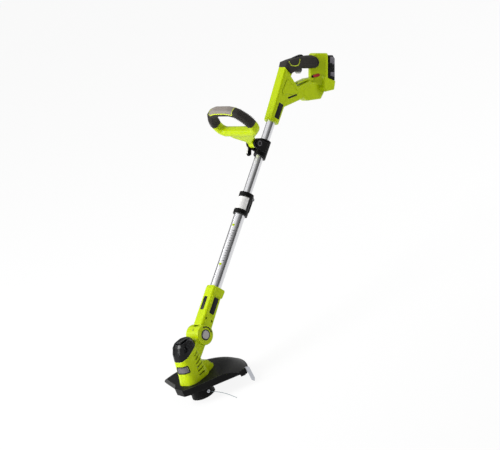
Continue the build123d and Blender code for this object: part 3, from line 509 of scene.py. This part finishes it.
# rear handle: a bare nameplate on each side of the sleeve
plateSet = {"half": 17.0, "y": (-8, 10), "along": (-105, -58), "corner": 2.0, "rise": 0.9, "bevel": 0.4}
lean = math.radians(leanSet["shaft"] - leanSet["handle"])


def onShaft(y, along):  # a place of the shaft's frame in the rear handle's
    return (along * math.sin(lean) + y * math.cos(lean), along * math.cos(lean) - y * math.sin(lean))


plateOutline = [onShaft(y, along) for y, along in rectangle(plateSet["y"], plateSet["along"])]
sidePlates("sleeveNameplate", handleAt, roundOutline(plateOutline, plateSet["corner"]),
           plateSet["half"] - seat, plateSet["rise"], plateSet["bevel"], "rear_handle", "switch_black")

# rear grip: lime piping, and rows of short ribs that follow its curve
pipingSet = {"bead": 1.2, "route": [(7, 71), (8.5, 64), (13, 59.5), (19, 58), (35, 58), (42, 61.5),
                                    (46, 69), (48, 79)]}
ribSet = {"rows": [58, 63, 68, 73, 78, 83], "from": 58, "to": 112, "runs": 5, "middle": 85,
          "sag": 0.0016, "size": (12.4, 1.7, 1.3), "crease": 0.35}
gripHull = surfaceOf("rear_grip", "rear_housing_right", "rear_housing_left", "trigger", "lock_off_button")
routes = [[dropSide(gripHull, handleAt, side, y, z)[0] for y, z in pipingSet["route"]] for side in sides]
addBeads("gripPiping", routes, pipingSet["bead"], "rear_handle", "lime_plastic", highlightLime)
run = (ribSet["to"] - ribSet["from"]) / ribSet["runs"]
places = []
for side in sides:
    for row in ribSet["rows"]:
        for step in range(ribSet["runs"]):
            y = ribSet["from"] + (step + 0.5) * run
            away = y - ribSet["middle"]
            place, normal = dropSide(gripHull, handleAt, side, y, row - ribSet["sag"] * away ** 2)
            places.append((place, normal, handleY - handleZ * 2 * ribSet["sag"] * away, 1.0))
repeatBars("gripRibs", places, ribSet["size"], "rear_handle", "dark_rubber", ribSet["crease"])

# strut: a bead round the raised panel, and a black bar under it as the painted shade of a slot
strutSet = {"panel": [(2, 20), (44, -18), (40, -24), (-13, -26), (-19, -16)], "corner": 5, "level": 18.2,
            "bead": 1.0, "slot": (21.9, -31.4), "run": (35.4, 10.8), "size": (36, 4.6, 1.6), "crease": 0.5}
routes = [[spotAt(handleAt, side * strutSet["level"], *p)
           for p in roundOutline(strutSet["panel"], strutSet["corner"])] for side in sides]
addBeads("panelBead", routes, strutSet["bead"], "rear_handle", "lime_plastic", closed=True)
slotShadeRun = handleY * strutSet["run"][0] + handleZ * strutSet["run"][1]
# black bars on the surface: painted shade of a slot
places = [(*dropSide(gripHull, handleAt, side, *strutSet["slot"]), slotShadeRun, 1.0) for side in sides]
repeatBars("strutSlotShade", places, strutSet["size"], "rear_handle", "switch_black", strutSet["crease"])

# lock-off button: finger ridges
lockSet = {"y": (44, 49, 54, 59), "size": (8, 1.6, 1.2), "crease": 0.5}
lockSurface = surfaceOf("lock_off_button")
places = [(*dropOn(lockSurface, handleAt, (0, y, outside), (0, 0, -1)), axisX, 1.0) for y in lockSet["y"]]
repeatBars("lockRidges", places, lockSet["size"], "lock_off", "switch_black", lockSet["crease"])
print("rear handle dressed")

# battery: raised side panels, back ribs and a row of plain level lights
batterySet = {"half": 36.0, "back": 171.95, "corner": 2.5, "rise": 1.2, "bevel": 0.6,
              "panels": [((151, 64), (169, 64), (169, 79), (165, 86), (151, 86)),
                         ((153, 30), (169, 27), (169, 41), (153, 41))],
              "ribs": range(34, 78, 6), "rib": (52, 2.2, 1.6), "ribCrease": 0.7,
              "lights": (-9, -3, 3, 9), "lightZ": 82, "light": (3, 3, 1.2), "lightCrease": 0.2}
for number, outline in enumerate(batterySet["panels"]):
    sidePlates(f"batteryPanel{number + 1}", handleAt, roundOutline(outline, batterySet["corner"]),
               batterySet["half"] - seat, batterySet["rise"], batterySet["bevel"], "battery", "badge_grey")
places = [(spotAt(handleAt, 0, batterySet["back"], z), handleY, axisX, 1.0) for z in batterySet["ribs"]]
repeatBars("batteryRibs", places, batterySet["rib"], "battery", "black_plastic", batterySet["ribCrease"])
places = [(spotAt(handleAt, x, batterySet["back"], batterySet["lightZ"]), handleY, axisX, 1.0)
          for x in batterySet["lights"]]
repeatBars("levelLights", places, batterySet["light"], "battery", "label_white", batterySet["lightCrease"])
print("battery dressed")

# lower sleeve: bare side and front plates, a collar, beads along the corners
sleeveSet = {"half": 20.5, "front": 21.0, "corner": 2, "bevel": 0.4,
             "sideY": (-8, 9.5), "sideZ": (67, 118), "sideRise": 1.0,
             "faceX": (-9, 5), "faceZ": (72, 114), "faceRise": 0.8, "faceBevel": 0.35,
             "collar": [(-15, 122), (19, 122), (21, 149), (-15, 149)], "collarCorner": 4,
             "collarRise": 1.9, "collarBevel": 1.2,
             "bead": 1.3, "beadY": -12.5, "beadSlope": 0.035, "beadZ": range(36, 132, 12)}
sidePlates("sleeveSidePlate", shaftAt,
           roundOutline(rectangle(sleeveSet["sideY"], sleeveSet["sideZ"]), sleeveSet["corner"]),
           sleeveSet["half"] - seat, sleeveSet["sideRise"], sleeveSet["bevel"], "lower_shaft", "switch_black")
shape = bmesh.new()
faceOutline = roundOutline(rectangle(sleeveSet["faceX"], sleeveSet["faceZ"]), sleeveSet["corner"])
addPlate(shape, [spotAt(shaftAt, p.x, seat - sleeveSet["front"], p.y) for p in faceOutline],
         -shaftY * sleeveSet["faceRise"] * mm, sleeveSet["faceBevel"])
bmeshPiece("sleeveFrontPlate", shape, "lower_shaft", "switch_black")
sidePlates("sleeveCollar", shaftAt, roundOutline(sleeveSet["collar"], sleeveSet["collarCorner"]),
           sleeveSet["half"] - seat, sleeveSet["collarRise"], sleeveSet["collarBevel"],
           "lower_shaft", "lime_plastic")
sleeveSurface = surfaceOf("lower_sleeve_right", "lower_sleeve_left")
routes = []
for side in sides:
    route = []
    for z in sleeveSet["beadZ"]:
        y = sleeveSet["beadY"] - sleeveSet["beadSlope"] * (z - sleeveSet["beadZ"][0])
        route.append(dropSide(sleeveSurface, shaftAt, side, y, z)[0])
    routes.append(route)
addBeads("sleeveBeads", routes, sleeveSet["bead"], "lower_shaft", "lime_plastic")
print("lower sleeve dressed")

# tubes: true round skins the size of their solids, two lime dots and a plain row of length ticks
tubeSet = {"edge": 0.4, "steps": 96, "radius": 16.5,
           "dots": (220, 345), "dotFacing": (0.334, -0.943), "dot": (9, 8, 0.9), "dotCrease": 0.25,
           "ticks": range(232, 336, 8), "tickFacing": (0.62, -0.785), "tick": (7, 1.3, 0.5),
           "longEvery": 4, "shortShare": 0.6}


def tubeMark(facing, z, share=1.0):
    flat = Vector((*facing, 0)).normalized()
    outward = shaftAt.to_3x3() @ flat
    middle = spotAt(shaftAt, *(flat * tubeSet["radius"] + axisZ * z))
    return (middle, outward, shaftZ.cross(outward), share)


for node, name, body in (("upper_tube", "upperTube", "rear_handle"),
                         ("lower_tube", "lowerTube", "lower_shaft")):
    spots = [shaftAt.inverted() @ v.co / mm for v in nodes[node].data.vertices]
    radii, heights = [math.hypot(p.x, p.y) for p in spots], [p.z for p in spots]
    outer, inner, foot, head = max(radii), min(radii), min(heights), max(heights)
    edge = tubeSet["edge"]
    profile = [(outer, foot + edge), (outer, head - edge), (outer - edge, head), (inner, head),
               (inner, foot), (outer - edge, foot)]
    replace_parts(addLathe(name, shaftAt, profile, body, "tube_aluminium", tubeSet["steps"]), node)
places = [tubeMark(tubeSet["dotFacing"], z) for z in tubeSet["dots"]]
repeatBars("tubeDots", places, tubeSet["dot"], "lower_shaft", "lime_plastic", tubeSet["dotCrease"])
places = [tubeMark(tubeSet["tickFacing"], z, tubeSet["shortShare"] if k % tubeSet["longEvery"] else 1.0)
          for k, z in enumerate(tubeSet["ticks"])]
repeatBars("tubeTicks", places, tubeSet["tick"], "lower_shaft", "switch_black", finish=markBlack)
print("tubes marked")

# barrel: position marks round the button, a screw, and a ring and plug on the far side
barrelSet = {"half": 27.0, "markRadius": 23.2, "marks": (-6, 14, 34, 54, 74), "mark": (6.8, 4.6, 1.2),
             "markCrease": 0.5, "screwAngle": 119, "screwX": 1, "screwRadius": 29.4,
             "screw": [(0, -2), (3.4, -2), (3.4, 0.7), (3.0, 1.0), (2.2, 1.0), (1.9, 0.4), (0, 0.4)],
             "ring": [(18.6, 26.6), (23.4, 26.6), (23.4, 27.8), (22.8, 28.3), (19.2, 28.3), (18.6, 27.8)],
             "plug": [(0, 26.6), (9, 26.6), (9, 28.0), (8.3, 28.7), (3.2, 28.7), (2.8, 28.1), (0, 28.1)],
             "screwSteps": 24, "ringSteps": 64, "plugSteps": 40}


def spoke(degrees):
    return Vector((0, math.cos(math.radians(degrees)), math.sin(math.radians(degrees))))


places = []
for degrees in barrelSet["marks"]:
    middle = axisX * barrelSet["half"] + spoke(degrees) * barrelSet["markRadius"]
    places.append((spotAt(pivotAt, *middle), axisX, axisX.cross(spoke(degrees)), 1.0))
repeatBars("tiltMarks", places, barrelSet["mark"], "head", "switch_black", barrelSet["markCrease"])
screwOut = spoke(barrelSet["screwAngle"])
screwSpot = spotAt(pivotAt, *(axisX * barrelSet["screwX"] + screwOut * barrelSet["screwRadius"]))
screwAt = Matrix.Translation(screwSpot) @ screwOut.to_track_quat("Z", "Y").to_matrix().to_4x4()
addLathe("barrelScrew", screwAt, barrelSet["screw"], "head", "switch_black", barrelSet["screwSteps"])
farSide = pivotAt @ Matrix.Rotation(math.radians(-90), 4, "Y")
addLathe("barrelRing", farSide, barrelSet["ring"], "head", "lime_plastic", barrelSet["ringSteps"])
addLathe("barrelPlug", farSide, barrelSet["plug"], "head", "switch_black", barrelSet["plugSteps"])

# motor cover: cooling fins and a low hood
coverSet = {"finsY": (-12, -4, 4, 12, 20), "finsZ": 164, "finSlope": 0.2, "finLean": (0, -0.25, 1),
            "frontX": (-10, 10), "frontZ": 160, "frontShare": 0.9, "fin": (17, 2.6, 2.0), "crease": 0.5,
            "hoodX": (-13, 13), "hoodY": (-9, 22), "hoodOver": (0, 9), "corner": 6, "sunk": 6, "rise": 4.5,
            "bevel": 2.4}
coverSurface = surfaceOf("motor_cover")
places = []
for side in sides:
    for y in coverSet["finsY"]:
        spot = dropSide(coverSurface, worldAt, side, y, coverSet["finsZ"] + coverSet["finSlope"] * y)
        places.append((*spot, Vector(coverSet["finLean"]), 1.0))
for x in coverSet["frontX"]:
    spot = dropOn(coverSurface, worldAt, (x, -outside, coverSet["frontZ"]), (0, 1, 0))
    places.append((*spot, axisZ, coverSet["frontShare"]))
repeatBars("coverFins", places, coverSet["fin"], "head", "black_plastic", coverSet["crease"], glossBlack)
shape = bmesh.new()
top, _ = dropOn(coverSurface, worldAt, (*coverSet["hoodOver"], outside), (0, 0, -1))
sunk = coverSet["sunk"] * mm
outline = roundOutline(rectangle(coverSet["hoodX"], coverSet["hoodY"]), coverSet["corner"])
addPlate(shape, [Vector((p.x * mm, p.y * mm, top.z - sunk)) for p in outline],
         axisZ * (sunk + coverSet["rise"] * mm), coverSet["bevel"])
bmeshPiece("coverSlab", shape, "head", "black_plastic", glossBlack)

# motor housing: a raised lip over each louvre
louvreSet = {"rows": 6, "foot": 79.6, "pitch": 12, "middle": 2, "from": -11, "to": 15, "steps": 6,
             "shift": 3, "turn": 5, "lip": 1.5}
louvreShell = surfaceOf("motor_housing_right", "motor_housing_left")
routes = []
for side in sides:
    for row in range(louvreSet["rows"]):
        slope = math.tan(math.radians(louvreSet["turn"] * row))
        route = []
        for k in range(louvreSet["steps"]):
            away = louvreSet["from"] + (louvreSet["to"] - louvreSet["from"]) * k / (louvreSet["steps"] - 1)
            y = louvreSet["middle"] + louvreSet["shift"] * row + away
            z = louvreSet["foot"] + louvreSet["pitch"] * row + away * slope
            route.append(dropSide(louvreShell, worldAt, side, y, z)[0])
        routes.append(route)
addBeads("louvreLips", routes, louvreSet["lip"], "head", "lime_plastic")

# motor housing: rims of the badge and of the tail
badgeSet = {"centre": (5, -15), "from": -126, "to": -34, "steps": 11, "low": 99.2, "high": 118.8,
            "bead": 1.6}
headShell = surfaceOf("motor_housing_right", "motor_housing_left", "badge_plate")
upper, lower = [], []
for k in range(badgeSet["steps"]):
    share = k / (badgeSet["steps"] - 1)
    angle = math.radians(badgeSet["from"] + (badgeSet["to"] - badgeSet["from"]) * share)
    ray = Vector((math.cos(angle), math.sin(angle), 0))
    for row, height in ((upper, badgeSet["high"]), (lower, badgeSet["low"])):
        start = Vector((*badgeSet["centre"], height)) + ray * outside
        row.append(dropOn(headShell, worldAt, start, -ray)[0])
addBeads("badgeRim", [upper + lower[::-1]], badgeSet["bead"], "head", "switch_black", closed=True)
tailSet = {"centre": 24, "radii": (27, 49), "top": [(24, 102), (44, 96), (57, 76), (72, 65), (90, 65)],
           "turns": range(-72, 73, 8), "narrow": 0.98, "inset": 0.6, "sunk": 0.4, "bead": 1.3}


def tailTop(y):
    for (nearY, nearZ), (farY, farZ) in zip(tailSet["top"], tailSet["top"][1:]):
        if y <= farY:
            return nearZ + (farZ - nearZ) * (y - nearY) / (farY - nearY)


route = []
for degrees in tailSet["turns"]:
    angle = math.radians(degrees)
    x = tailSet["radii"][0] * math.sin(angle) * tailSet["narrow"]
    y = tailSet["centre"] + tailSet["radii"][1] * math.cos(angle)
    route.append(spotAt(worldAt, x, y - tailSet["inset"], tailTop(y) - tailSet["sunk"]))
addBeads("tailRim", [route], tailSet["bead"], "head", "lime_plastic")
print("head dressed")

# guard: a lip along its edge
guardSet = {"middle": (0, -13), "lip": 36.2, "bead": 1.4, "turns": range(30, 166, 5)}
guardSurface = surfaceOf("guard")
route = []
for degrees in guardSet["turns"]:
    ray = Vector((math.cos(math.radians(degrees)), math.sin(math.radians(degrees)), 0))
    start = Vector((*guardSet["middle"], guardSet["lip"])) + ray * outside
    route.append(dropOn(guardSurface, worldAt, start, -ray)[0])
addBeads("guardLip", [route], guardSet["bead"], "head", "black_plastic")

# spool: grip ribs round the cap
spoolSet = {"radius": 35, "count": 30, "level": 6.0, "size": (7.0, 2.4, 1.8), "crease": 0.5}
places = []
for k in range(spoolSet["count"]):
    angle = 2 * math.pi * k / spoolSet["count"]
    ray = Vector((math.cos(angle), math.sin(angle), 0))
    middle = spotAt(worldAt, *(ray * spoolSet["radius"] + axisZ * spoolSet["level"]))
    places.append((middle, ray, axisZ, 1.0))
repeatBars("spoolRibs", places, spoolSet["size"], "spool", "black_plastic", spoolSet["crease"])

# guard: the shroud that holds the line cutter
shroudSet = {"corner": (145.4, 59.0, 0), "turn": -45, "from": 1.5, "rise": 4.8, "bevel": 1.4, "round": 3,
             "outline": [(-13.5, 40.5), (9.2, 38.8), (8.5, 57.6), (-13.5, 52.6)]}
shroudTurn = Matrix.Rotation(math.radians(shroudSet["turn"]), 4, "Z")
shroudAt = Matrix.Translation(Vector(shroudSet["corner"]) * mm) @ shroudTurn
shroudOutline = roundOutline(shroudSet["outline"], shroudSet["round"])
sidePlates("bladeShroud", shroudAt, shroudOutline, shroudSet["from"], shroudSet["rise"], shroudSet["bevel"],
           "head", "black_plastic", faces=(1,))
print("guard and spool dressed")

# front clamp: ringed cap on the bolt, its grey ring a painted highlight, pale strip down the lock lever
clampSet = {"bolt": (0, -34.5, 598),
            "cap": [(0, 19.5), (10, 19.5), (10, 24.2), (9.2, 25.0), (7.2, 25.0), (6.6, 23.9), (4.8, 23.9),
                    (4.2, 25.4), (0, 25.4)],
            "ring": [(5.6, 23.4), (7.6, 23.4), (7.6, 25.2), (7.0, 25.7), (6.2, 25.7), (5.6, 25.2)],
            "stripX": (-26.7, -20.4), "stripTop": (-6, 3), "stripFoot": (5.2, -30.5), "stripLift": 1.2,
            "stripBevel": 0.4}
boltAt = shaftAt @ Matrix.Translation(Vector(clampSet["bolt"]) * mm)
boltSide = boltAt @ Matrix.Rotation(math.radians(90), 4, "Y")
addLathe("boltCap", boltSide, clampSet["cap"], "rear_handle", "switch_black")
# grey ring: painted highlight on the dark ring of the cap
addLathe("boltRingHighlight", boltSide, clampSet["ring"], "rear_handle", "badge_grey")
shape = bmesh.new()
outerX, innerX = clampSet["stripX"]
stripTop, stripFoot = Vector(clampSet["stripTop"]), Vector(clampSet["stripFoot"])
edge = (stripFoot - stripTop).normalized()
lift = boltAt.to_3x3() @ Vector((0, edge.y, -edge.x))
corners = [spotAt(boltAt, x, *end) - lift * seat * mm for x, end in (
    (outerX, stripTop), (innerX, stripTop), (innerX, stripFoot), (outerX, stripFoot))]
addPlate(shape, corners, lift * clampSet["stripLift"] * mm, clampSet["stripBevel"])
bmeshPiece("leverStrip", shape, "handle_lever", "pale_plastic")
print("clamp dressed")

# front loop: lime piping round the pale pad, ribs across the dark rubber
loopSet = {"level": 10, "crest": 153, "flat": 28, "fall": 9 / 28, "reach": 60, "padEdge": 4, "padHalf": 50,
           "padSteps": 8, "slant": 0.7, "bead": 1.5, "arm": [(79.6, 99), (74, 118), (55, 144)], "ribs": 11,
           "rib": (17, 1.7, 1.4), "crease": 0.35}
loopSurface = surfaceOf("front_handle_pad", "front_handle_grip", "front_handle_frame")
loopTurn = loopAt.to_3x3()


def crestAt(x):  # middle of the bar over the pad
    return loopSet["crest"] - max(0, abs(x) - loopSet["flat"]) * loopSet["fall"]


def onLoop(x, y, aim):  # the bar's surface, seen from outside the bar
    start = Vector((x, y, loopSet["level"])) - Vector(aim) * loopSet["reach"]
    return dropOn(loopSurface, loopAt, start, aim)


route = []
half, slant = loopSet["padHalf"], loopSet["slant"]
for side in sides:  # along one face at the pad's edge, then over its end to the other face
    for k in range(loopSet["padSteps"] + 1):
        x = side * half * (2 * k / loopSet["padSteps"] - 1)
        route.append(onLoop(x, crestAt(x) + loopSet["padEdge"], (0, 0, -side))[0])
    for aim in ((0, -slant, -slant * side), (0, -1, 0), (0, -slant, slant * side)):
        route.append(onLoop(side * half, crestAt(half), aim)[0])
addBeads("padPiping", [route], loopSet["bead"], "front_handle", "lime_plastic", highlightLime, closed=True)
places = []
arm = [Vector(p) for p in loopSet["arm"]]
lengths = [(b - a).length for a, b in zip(arm, arm[1:])]
for k in range(loopSet["ribs"]):
    along = sum(lengths) * (k + 0.5) / loopSet["ribs"]
    first = 0 if along < lengths[0] else 1
    near, far = arm[first], arm[first + 1]
    spot = near.lerp(far, (along - first * lengths[0]) / lengths[first])
    out = Vector(((far - near).y, -(far - near).x)).normalized()
    for side in sides:
        outward = Vector((side * out.x, out.y, 0))
        for aim, across in ((-outward, axisZ), (Vector((0, 0, -1)), outward), (axisZ, outward)):
            places.append((*onLoop(side * spot.x, spot.y, aim), loopTurn @ across, 1.0))
repeatBars("loopRibs", places, loopSet["rib"], "front_handle", "dark_rubber", loopSet["crease"])
print("front loop dressed")

# pale floor, white backdrop and soft studio light
stageSet = {"floorHalf": 9.0, "floorLevel": -0.0004, "floorTone": (0.9, 0.9, 0.9, 1),
            "floorRough": 0.9, "keep": 0.90, "world": 0.34,
            "cards": [{"x": 3.0, "y": (-2.4, 3.4), "z": (0.0, 6.5), "foot": 0.012, "head": 0.62},
                      {"x": -3.0, "y": (-2.0, 3.4), "z": (0.0, 2.2), "foot": 0.03, "head": 0.35}]}
lampSet = {"keyLamp": {"place": (-1.5, -1.7, 2.4), "aim": (0, 0.4, 0.35), "size": 1.8, "energy": 124.0},
           "fillLamp": {"place": (2.4, -1.2, 1.4), "aim": (0, 0.4, 0.35), "size": 2.0, "energy": 5.0},
           "rimLamp": {"place": (0.6, 2.6, 2.2), "aim": (0, 0.4, 0.4), "size": 1.6, "energy": 16.0},
           "sideLamp": {"place": (0.8, 1.6, 0.7), "aim": (0, 0.88, 0.56), "size": 0.5, "energy": 3.0},
           "lowLamp": {"place": (-0.5, -0.9, 0.45), "aim": (0, 0.05, 0.15), "size": 0.5, "energy": 3.0}}


def seenRay(tree):  # 1 for what the camera, a reflection or glass sees
    path = tree.nodes.new("ShaderNodeLightPath")
    first = tree.nodes.new("ShaderNodeMath")
    first.operation = "MAXIMUM"
    second = tree.nodes.new("ShaderNodeMath")
    second.operation = "MAXIMUM"
    tree.links.new(path.outputs["Is Camera Ray"], first.inputs[0])
    tree.links.new(path.outputs["Is Glossy Ray"], first.inputs[1])
    tree.links.new(first.outputs[0], second.inputs[0])
    tree.links.new(path.outputs["Is Transmission Ray"], second.inputs[1])
    return second.outputs[0]


floorMaterial = bpy.data.materials.new("paleFloor")
floorMaterial.use_nodes = True
floorTree = floorMaterial.node_tree
floorShader = floorTree.nodes["Principled BSDF"]
floorShader.inputs["Base Color"].default_value = stageSet["floorTone"]
floorShader.inputs["Roughness"].default_value = stageSet["floorRough"]
floorShader.inputs["Specular IOR Level"].default_value = 0.0
floorGlow = floorTree.nodes.new("ShaderNodeEmission")
floorGlow.inputs["Strength"].default_value = 1.0
floorMix = floorTree.nodes.new("ShaderNodeMixShader")
floorShare = floorTree.nodes.new("ShaderNodeMath")
floorShare.operation = "MULTIPLY"
floorShare.inputs[1].default_value = stageSet["keep"]
floorTree.links.new(seenRay(floorTree), floorShare.inputs[0])
floorTree.links.new(floorShare.outputs[0], floorMix.inputs["Fac"])
floorTree.links.new(floorShader.outputs[0], floorMix.inputs[1])
floorTree.links.new(floorGlow.outputs[0], floorMix.inputs[2])
floorTree.links.new(floorMix.outputs[0], floorTree.nodes["Material Output"].inputs["Surface"])
floorMesh = bpy.data.meshes.new("floor")
span = (-stageSet["floorHalf"], stageSet["floorHalf"])
floorMesh.from_pydata([(x, y, stageSet["floorLevel"]) for x, y in rectangle(span, span)], [], [(0, 1, 2, 3)])
floorMesh.materials.append(floorMaterial)
floor = bpy.data.objects.new("floor", floorMesh)
scene.collection.objects.link(floor)


def addCard(name, card):  # dark at its foot and seen only in reflections, where it shades the gloss
    material = bpy.data.materials.new(name)
    material.use_nodes = True
    tree = material.node_tree
    place, split, tone, glow = (tree.nodes.new(kind) for kind in (
        "ShaderNodeTexCoord", "ShaderNodeSeparateXYZ", "ShaderNodeMapRange", "ShaderNodeEmission"))
    tone.inputs["From Max"].default_value = card["z"][1]
    tone.inputs["To Min"].default_value = card["foot"]
    tone.inputs["To Max"].default_value = card["head"]
    tree.links.new(place.outputs["Object"], split.inputs["Vector"])
    tree.links.new(split.outputs["Z"], tone.inputs["Value"])
    tree.links.new(tone.outputs["Result"], glow.inputs["Strength"])
    tree.links.new(glow.outputs[0], tree.nodes["Material Output"].inputs["Surface"])
    (near, far), (foot, head) = card["y"], card["z"]
    mesh = bpy.data.meshes.new(name)
    mesh.from_pydata([(card["x"], y, z) for y, z in ((near, foot), (near, head), (far, head), (far, foot))],
                     [], [(0, 1, 2, 3)])
    mesh.materials.append(material)
    piece = bpy.data.objects.new(name, mesh)
    scene.collection.objects.link(piece)
    piece.visible_camera = piece.visible_diffuse = piece.visible_shadow = False
    piece.visible_transmission = piece.visible_volume_scatter = False


for number, card in enumerate(stageSet["cards"]):
    addCard(f"shadeCard{number + 1}", card)

world = bpy.data.worlds.new("studio")
scene.world = world
world.use_nodes = True
worldTree = world.node_tree
sky = worldTree.nodes["Background"]
sky.inputs["Color"].default_value = (1, 1, 1, 1)
skyLevel = worldTree.nodes.new("ShaderNodeMapRange")
skyLevel.inputs["To Min"].default_value = stageSet["world"]
skyLevel.inputs["To Max"].default_value = 1.0
worldTree.links.new(seenRay(worldTree), skyLevel.inputs["Value"])
worldTree.links.new(skyLevel.outputs["Result"], sky.inputs["Strength"])


def addLamp(name, place, aim, size, energy):
    data = bpy.data.lights.new(name, "AREA")
    data.size = size
    data.energy = energy
    lamp = bpy.data.objects.new(name, data)
    scene.collection.objects.link(lamp)
    lamp.location = place
    lamp.rotation_euler = (Vector(aim) - Vector(place)).to_track_quat("-Z", "Y").to_euler()


for name, lamp in lampSet.items():
    addLamp(name, **lamp)
print("stage lit")
